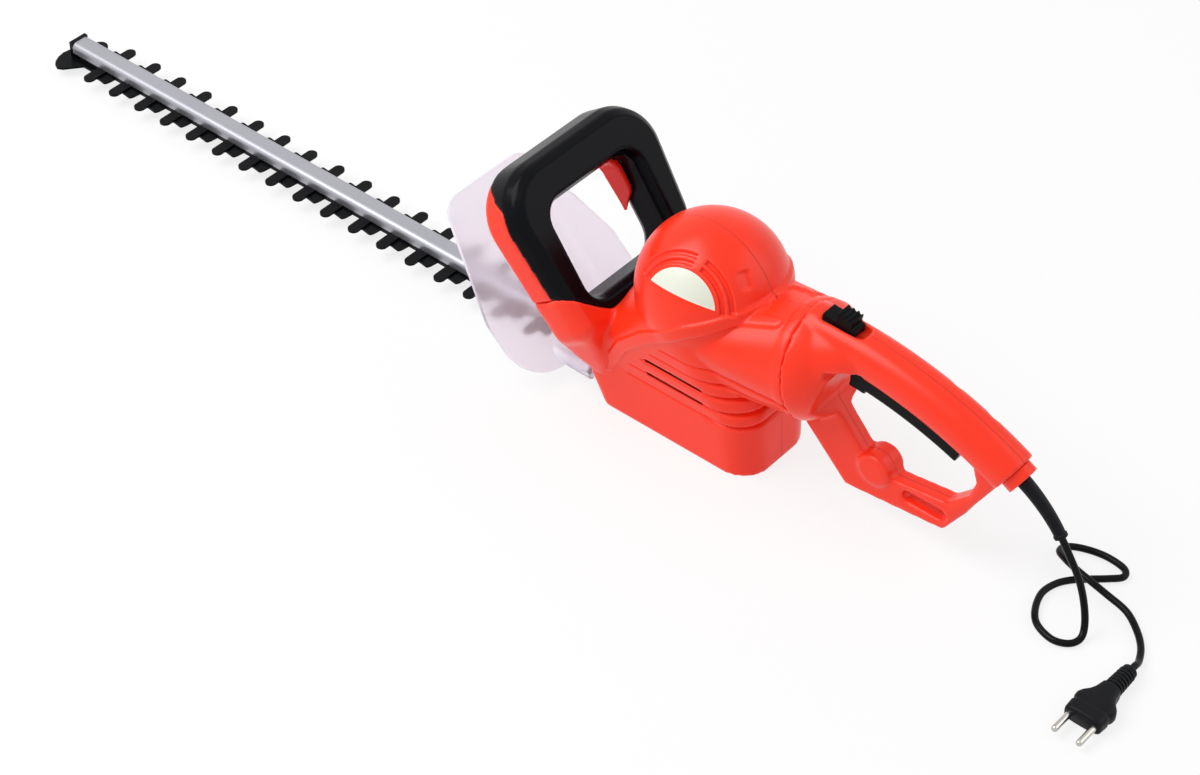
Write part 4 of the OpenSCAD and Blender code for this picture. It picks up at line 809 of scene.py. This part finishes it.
@dataclass
class MotorHousing:
    """The red housing of the motor and the gears, all sizes in millimetres."""

    voxel: float = 1.5
    dome: Triple = (9.0, 0.0, 126.0)
    belt: list[tuple[float, float]] = field(default_factory=lambda: [
        (-52, 44), (-34, 76), (-12, 98), (26, 127), (48, 137), (64, 142), (80, 147)])
    belt_half: float = 4.2
    belt_rise: float = 2.0
    grooves: list[float] = field(default_factory=lambda: [95.0, 83.5, 72.0, 59.0, 47.5])
    groove_deep: float = 1.2
    gill_deep: float = 3.4
    middle_x: float = 15.0
    nose_rounds: int = 40
    label_tilt: float = 61.0
    label_turn: float = -80.0
    label_shift: float = 10.0
    arcs: list[float] = field(default_factory=lambda: [31.5, 37.0])
    arc_deep: float = 2.2
    notch: Triple = (47.5, -16.5, 161.0)
    notch_half: float = 5.5
    notch_deep: float = 2.4
    vents: tuple[float, float] = (72.0, 59.0)
    vent_from: float = -15.0
    vent_to: float = 37.0
    vent_half: float = 1.5
    kept: float = 0.5

    def label_frame(self) -> Matrix:
        """Return the turn from the label's own axes to the object's."""
        return (Matrix.Rotation(math.radians(self.label_turn), 3, "Z")
                @ Matrix.Rotation(math.radians(self.label_tilt), 3, "Y")
                @ Matrix.Rotation(math.radians(-5), 3, "Z"))

    def outer(self, points: np.ndarray, normals: np.ndarray) -> np.ndarray:
        """Tell which points lie on the outside of the shell."""
        out = points - np.array([self.middle_x, 0.0, 0.0])
        out[:, 2] = points[:, 2] - np.clip(points[:, 2], 40, self.dome[2])
        away = np.einsum("ij,ij->i", out, normals) / np.maximum(np.linalg.norm(out, axis=1), 1)
        return away > 0.15

    def belt_height(self, points: np.ndarray, normals: np.ndarray) -> np.ndarray:
        """Shape the belt that climbs from the nose to the neck.

        Args:
            points: The points in millimetres.
            normals: Their normals.

        Returns:
            The height of the belt at each point.
        """
        gap = distance_to_path(points[:, 0], points[:, 2], self.belt)
        side = (np.abs(points[:, 1]) > 26) & (normals[:, 1] * np.sign(points[:, 1]) > 0.2)
        top = (points[:, 0] > 40) & (points[:, 2] > 125) & (normals[:, 2] > 0.25)
        return ease((self.belt_half + 1.6 - gap) / 1.9) * self.belt_rise * (side | top)

    def groove_depth(self, points: np.ndarray, normals: np.ndarray) -> np.ndarray:
        """Shape the grooves: a sharp lip over a ramp that widens round the rear corner.

        Args:
            points: The points in millimetres.
            normals: Their normals.

        Returns:
            The depth at each point.
        """
        x, y, z = points.T
        bend = ease((x - 34) / 26)
        front = np.interp(z, [46, 59, 96], [-34, -31, 2])
        behind = ease((x - front) / 2.0)
        depth = np.zeros(len(x))
        for level in self.grooves:
            above = (z - level) / (1.0 + 2.2 * bend)
            cut = np.where(above > 0, ease(1 - above / 0.45), ease(1 + above / 1.6))
            depth = np.maximum(depth, cut * (self.groove_deep - 0.4 * bend))
        flat = (normals[:, 2] > -0.6) & (z < 100) & (np.hypot(x - 9, y) > 30)
        return depth * behind * flat

    def gills(self, points: np.ndarray) -> np.ndarray:
        """Sink both faces of the wall where the grooves turn the rear corner.

        Args:
            points: The points in millimetres.

        Returns:
            The move of each point.
        """
        x, y, z = points.T
        out = points * np.array([1.0, 1.0, 0.0]) - np.array([self.middle_x, 0.0, 0.0])
        reach = np.linalg.norm(out, axis=1)
        sunk = np.zeros(len(x))
        for level in self.grooves:
            above = (z - level) / 2.6
            cut = np.where(above > 0, ease(1 - above / 0.5), ease(1 + above / 1.4))
            sunk = np.maximum(sunk, cut)
        sunk *= self.gill_deep * ease((x - 30) / 26) * ease((reach - 40) / 5) * (z < 100)
        return -out / np.maximum(reach, 1)[:, None] * sunk[:, None]

    def label_grooves(self, points: np.ndarray) -> np.ndarray:
        """Shape the two broken arcs over the label and the notch beside them.

        Args:
            points: The points in millimetres.

        Returns:
            The depth at each point.
        """
        local = (points - np.array(self.dome)) @ np.array(self.label_frame())
        across, along = local[:, 0] - self.label_shift, local[:, 1]
        reach, angle = np.hypot(across, along), np.degrees(np.arctan2(along, -across))
        near = (local[:, 2] > 25) & (np.abs(angle) < 78) & (np.abs(angle - 6) > 6)
        depth = np.zeros(len(points))
        for arc in self.arcs:
            depth = np.maximum(depth, ease((1.9 - np.abs(reach - arc)) / 0.9))
        depth *= near
        aim = np.array(self.notch) - np.array(self.dome)
        aim /= np.linalg.norm(aim)
        rest = points - np.array(self.dome)
        level = np.cross(aim, [0, 0, 1.0])
        level /= np.linalg.norm(level)
        u, v = rest @ level, rest @ np.cross(level, aim)
        size = np.maximum(np.abs(u), np.abs(v) * 0.8)
        notch = ease((self.notch_half - size) / 1.2) * (rest @ aim > 40)
        slope = np.clip(0.5 - u / (2 * self.notch_half), 0.15, 1)
        return np.maximum(depth * self.arc_deep, notch * slope * self.notch_deep)

    def relief(self, points: np.ndarray, normals: np.ndarray) -> np.ndarray:
        """Return how far each point of the shell moves outwards."""
        outer = self.outer(points, normals)
        lift = self.belt_height(points, normals)
        sink = np.maximum(self.groove_depth(points, normals) * (lift < 0.2), self.label_grooves(points))
        return (lift - sink) * outer

    def fine(self, centres: np.ndarray) -> np.ndarray:
        """Tell which faces need a finer mesh.

        Args:
            centres: The centres of the faces in millimetres.

        Returns:
            True for the grooves, the arcs and the edges of the belt.
        """
        x, y, z = centres.T
        level = np.min([np.abs(z - g + 1.8) for g in self.grooves], axis=0)
        rows = (level < 3.8) & (np.abs(y) > 33) & (x > -38) | (level < 3.8) & (x > 62) & (z < 100)
        local = (centres - np.array(self.dome)) @ np.array(self.label_frame())
        reach = np.hypot(local[:, 0] - self.label_shift, local[:, 1])
        arcs = (local[:, 2] > 25) & (reach > 28.5) & (reach < 40)
        radius = np.linalg.norm(centres - np.array(self.dome), axis=1)
        belt = np.abs(distance_to_path(x, z, self.belt) - self.belt_half) < 2.2
        return rows | arcs & (radius > 53.5) | belt & (np.abs(y) > 40)

    def nose(self, points: np.ndarray) -> np.ndarray:
        """Return how far points belong to the soft hollow between the nose and the belly."""
        x, y, z = points.T
        return ease((-34 - x) / 8) * ease((x + 96) / 14) * ease((z - 46) / 12) * ease((110 - z) / 10)

    def cut_vents(self, shell: Piece) -> None:
        """Cut the two air slots through each side wall.

        Args:
            shell: The housing.
        """
        for level in self.vents:
            for side in (-1, 1):
                deselect()
                bpy.ops.mesh.primitive_cube_add(size=1)
                cutter = bpy.context.object
                cutter.scale = ((self.vent_to - self.vent_from) * MM, 40 * MM, 2 * self.vent_half * MM)
                cutter.location = ((self.vent_from + self.vent_to) / 2 * MM, side * 54 * MM, level * MM)
                place(cutter)
                apply_modifier(cutter, "BEVEL", width=0.9 * self.vent_half * MM, segments=3,
                               limit_method="ANGLE")
                apply_modifier(shell, "BOOLEAN", object=cutter, operation="DIFFERENCE", solver="FAST")
                bpy.data.objects.remove(cutter)

    def build(self) -> None:
        """Build the shell with its belt, grooves, air slots and parting line."""
        shell = moulding("motor_housing", ["housing_left", "housing_right"], self.voxel)
        soften(shell, self.nose, self.nose_rounds)
        refine(shell, self.fine)
        sculpt(shell, self.relief)
        points = points_of(shell)
        set_points(shell, points + self.gills(points))
        apply_modifier(shell, "SMOOTH", factor=0.3, iterations=1)
        self.cut_vents(shell)
        apply_modifier(shell, "DECIMATE", ratio=self.kept)
        dress(shell, FINISHES["body_red"], 60)
        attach(shell, "trimmer_body")
        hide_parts("housing_left", "housing_right")
        LOG.info("motor housing, %d faces", len(shell.data.polygons))


# ---------------------------------------------------------------- front handle and guard


@dataclass
class FrontHandle:
    """The looped front handle: black rear shell, red front shell and red lever."""

    voxel: float = 1.3
    lever_voxel: float = 0.8
    foot: Triple = (-52.3, 0.0, 60.0)
    tilt: float = 36.0
    lever_more: float = 6.0
    lever_play: float = 0.45
    arm_in: float = 2.4

    def drawn_out(self, points: np.ndarray) -> np.ndarray:
        """Return the points of the lever with longer arms that taper to their ends.

        Args:
            points: The points in millimetres.

        Returns:
            The new points.
        """
        lean = np.array(Matrix.Rotation(math.radians(-self.tilt), 3, "Y"))
        local = (points - np.array(self.foot)) @ lean
        x, y, z = local.T
        low, high, front = z.min(), z.max(), x.min()
        rise = (z - low) / (high - low)
        inner = ease((43.8 - np.abs(y)) / 0.8) * (np.abs(y) > 30)
        y = y - np.sign(y) * self.arm_in * inner * ease(rise * 1.6) * (rise < 0.85)
        x = front + (x - front) * (0.4 + 0.6 * ease(rise * 3.0))
        z = z - self.lever_more * ease(1.15 - 1.5 * rise)
        return np.column_stack([x, y, z]) @ lean.T + np.array(self.foot)

    def shell(self, name: str, node: str, slot: str, body: str, voxel: float) -> None:
        """Build one soft-edged shell of the handle.

        Args:
            name: The piece's name.
            node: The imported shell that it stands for.
            slot: The slot of its finish.
            body: The body that it rides on.
            voxel: The fineness of its surface in millimetres.
        """
        piece = moulding(name, [node], voxel)
        if node == "front_lever":
            set_points(piece, self.drawn_out(points_of(piece)))
            sculpt(piece, lambda points, _: np.full(len(points), -self.lever_play))
        dress(piece, WHOLE_RED if slot == "body_red" else FINISHES[slot], 60)
        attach(piece, body)
        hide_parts(node)
        LOG.info("%s, %d faces", name, len(piece.data.polygons))

    def build(self) -> None:
        """Build both shells and the lever."""
        self.shell("front_handle_black", "front_handle_rear_shell", "handle_black", "trimmer_body",
                   self.voxel)
        self.shell("front_handle_red", "front_handle_front_shell", "body_red", "trimmer_body", self.voxel)
        self.shell("front_switch_lever", "front_lever", "lever_red", "front_lever", self.lever_voxel)


@dataclass
class HandGuard:
    """The frosted guard between the hand and the blades."""

    edge: float = 0.9

    def build(self) -> None:
        """Build the guard with rounded edges."""
        guard = copy_of("hand_guard", "frosted_guard")
        with editing(guard):
            bpy.ops.mesh.dissolve_limited(angle_limit=math.radians(FLAT_ANGLE))
        apply_modifier(guard, "BEVEL", width=self.edge * MM, segments=3, limit_method="ANGLE",
                       angle_limit=math.radians(50), use_clamp_overlap=True)
        dress(guard, FINISHES["guard_clear"], 40)
        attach(guard, "trimmer_body")
        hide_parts("hand_guard")
        LOG.info("hand guard, %d faces", len(guard.data.polygons))


# ---------------------------------------------------------------- rear handle


@dataclass
class RearHandle:
    """The red rear handle that swivels, with its trigger and its lock."""

    voxel: float = 1.4
    control_voxel: float = 0.7
    lock_voxel: float = 0.5
    pocket_deep: float = 7.0
    shoulder_rounds: int = 30

    def soft(self, name: str, nodes: list[str], slot: str, body: str, voxel: float, rounds: int) -> None:
        """Build one soft-edged piece of the handle.

        Args:
            name: The piece's name.
            nodes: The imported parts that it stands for.
            slot: The slot of its finish.
            body: The body that it rides on.
            voxel: The fineness of its surface in millimetres.
            rounds: How often its surface is eased.
        """
        piece = moulding(name, nodes, voxel, rounds)
        if name == "rear_handle_shell":
            soften(piece, self.shoulder, self.shoulder_rounds)
            points = points_of(piece)
            set_points(piece, points + self.pocket(points))
        dress(piece, WHOLE_RED if len(nodes) < 2 and slot == "body_red" else FINISHES[slot], 60)
        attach(piece, body)
        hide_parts(*nodes)
        LOG.info("%s, %d faces", name, len(piece.data.polygons))

    def shoulder(self, points: np.ndarray) -> np.ndarray:
        """Return how far points belong to the soft shoulder between the collar and the grip."""
        x, y, z = points.T
        away = np.hypot(x - 128, z - 112)
        return ease((x - 110) / 6) * ease((34 - away) / 14) * (z < 140)

    def pocket(self, points: np.ndarray) -> np.ndarray:
        """Sink the pockets ahead of the trigger into both sides.

        Args:
            points: The points in millimetres.

        Returns:
            The move of each point.
        """
        x, y, z = points.T
        ahead = np.clip(x - 127, 0, 18)
        gap = np.abs(z - 125.4 + 0.1 * ahead) - 2.4 - 0.22 * ahead
        sunk = self.pocket_deep * ease((1.5 - gap) / 2.2) * ease((x - 124.5) / 2.5) * ease((150 - x) / 6)
        sunk *= ease((np.abs(y) - 6) / 6)
        return np.column_stack([np.zeros(len(x)), -np.sign(y) * sunk, np.zeros(len(x))])

    def build(self) -> None:
        """Build the handle, the trigger, the lock and the collar of the cord."""
        self.soft("rear_handle_shell", ["rear_handle_left", "rear_handle_right"], "body_red",
                  "rear_handle", self.voxel, 14)
        self.soft("trigger_moulding", ["trigger"], "control_black", "trigger", self.control_voxel, 3)
        self.soft("lock_slider_moulding", ["lock_slider"], "control_black", "lock_slider",
                  self.lock_voxel, 6)
        self.soft("cord_collar_moulding", ["cord_collar"], "body_red", "rear_handle", self.control_voxel, 3)


# ---------------------------------------------------------------- lower blade


@dataclass
class Blades:
    """The lower toothed blade, with round ends on its teeth."""

    round_off: float = 1.2
    upright: float = 0.05

    def corners(self, mesh: bpy.types.Mesh) -> list[int]:
        """Find the edges through the blade's thickness where its outline turns a little.

        Args:
            mesh: The blade's mesh.

        Returns:
            The numbers of the edges.
        """
        sides: dict[tuple[int, int], list[Vector]] = {}
        for face in mesh.polygons:
            for key in face.edge_keys:
                sides.setdefault(key, []).append(face.normal.copy())
        found = []
        for edge in mesh.edges:
            run = mesh.vertices[edge.vertices[0]].co - mesh.vertices[edge.vertices[1]].co
            beside = sides.get(edge.key, [])
            if run.xy.length >= self.upright * MM or len(beside) != 2:
                continue
            if 0.3 < beside[0].dot(beside[1]) < 0.97:
                found.append(edge.index)
        return found

    def blade(self, name: str, node: str) -> None:
        """Build one blade.

        Args:
            name: The piece's name.
            node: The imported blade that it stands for, which is also the name of its body.
        """
        piece = copy_of(node, name)
        with editing(piece):
            bpy.ops.mesh.dissolve_limited(angle_limit=math.radians(FLAT_ANGLE))
        weights = piece.data.attributes.new("bevel_weight_edge", "FLOAT", "EDGE")
        corners = self.corners(piece.data)
        for index in corners:
            weights.data[index].value = 1.0
        apply_modifier(piece, "BEVEL", width=self.round_off * MM, segments=3, limit_method="WEIGHT")
        dress(piece, FINISHES["blade_black"], 30)
        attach(piece, node)
        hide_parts(node)
        LOG.info("%s, %d corners rounded", name, len(corners))

    def build(self) -> None:
        """Build the lower blade; the upper one is packed with round teeth."""
        self.blade("lower_blade_ground", "lower_blade")


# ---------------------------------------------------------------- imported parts


@dataclass
class PackedParts:
    """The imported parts; those that no moulding stands for are seen as they are."""

    def build(self) -> None:
        """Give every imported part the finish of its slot."""
        for node, piece in frame["nodes"].items():
            material = FINISHES[SLOTS[node]].material()
            if not piece.material_slots:
                piece.data.materials.append(material)
            for holder in piece.material_slots:
                holder.material = material
        LOG.info("%d packed parts dressed", len(frame["nodes"]))


def main() -> None:
    """Build the scene, piece by piece."""
    logging.basicConfig(level=logging.INFO, format="%(name)s: %(message)s")
    Studio().build()
    MainsLead().build()
    PackedParts().build()
    MotorHousing().build()
    FrontHandle().build()
    HandGuard().build()
    RearHandle().build()
    Blades().build()


if __name__ == "__main__":
    main()
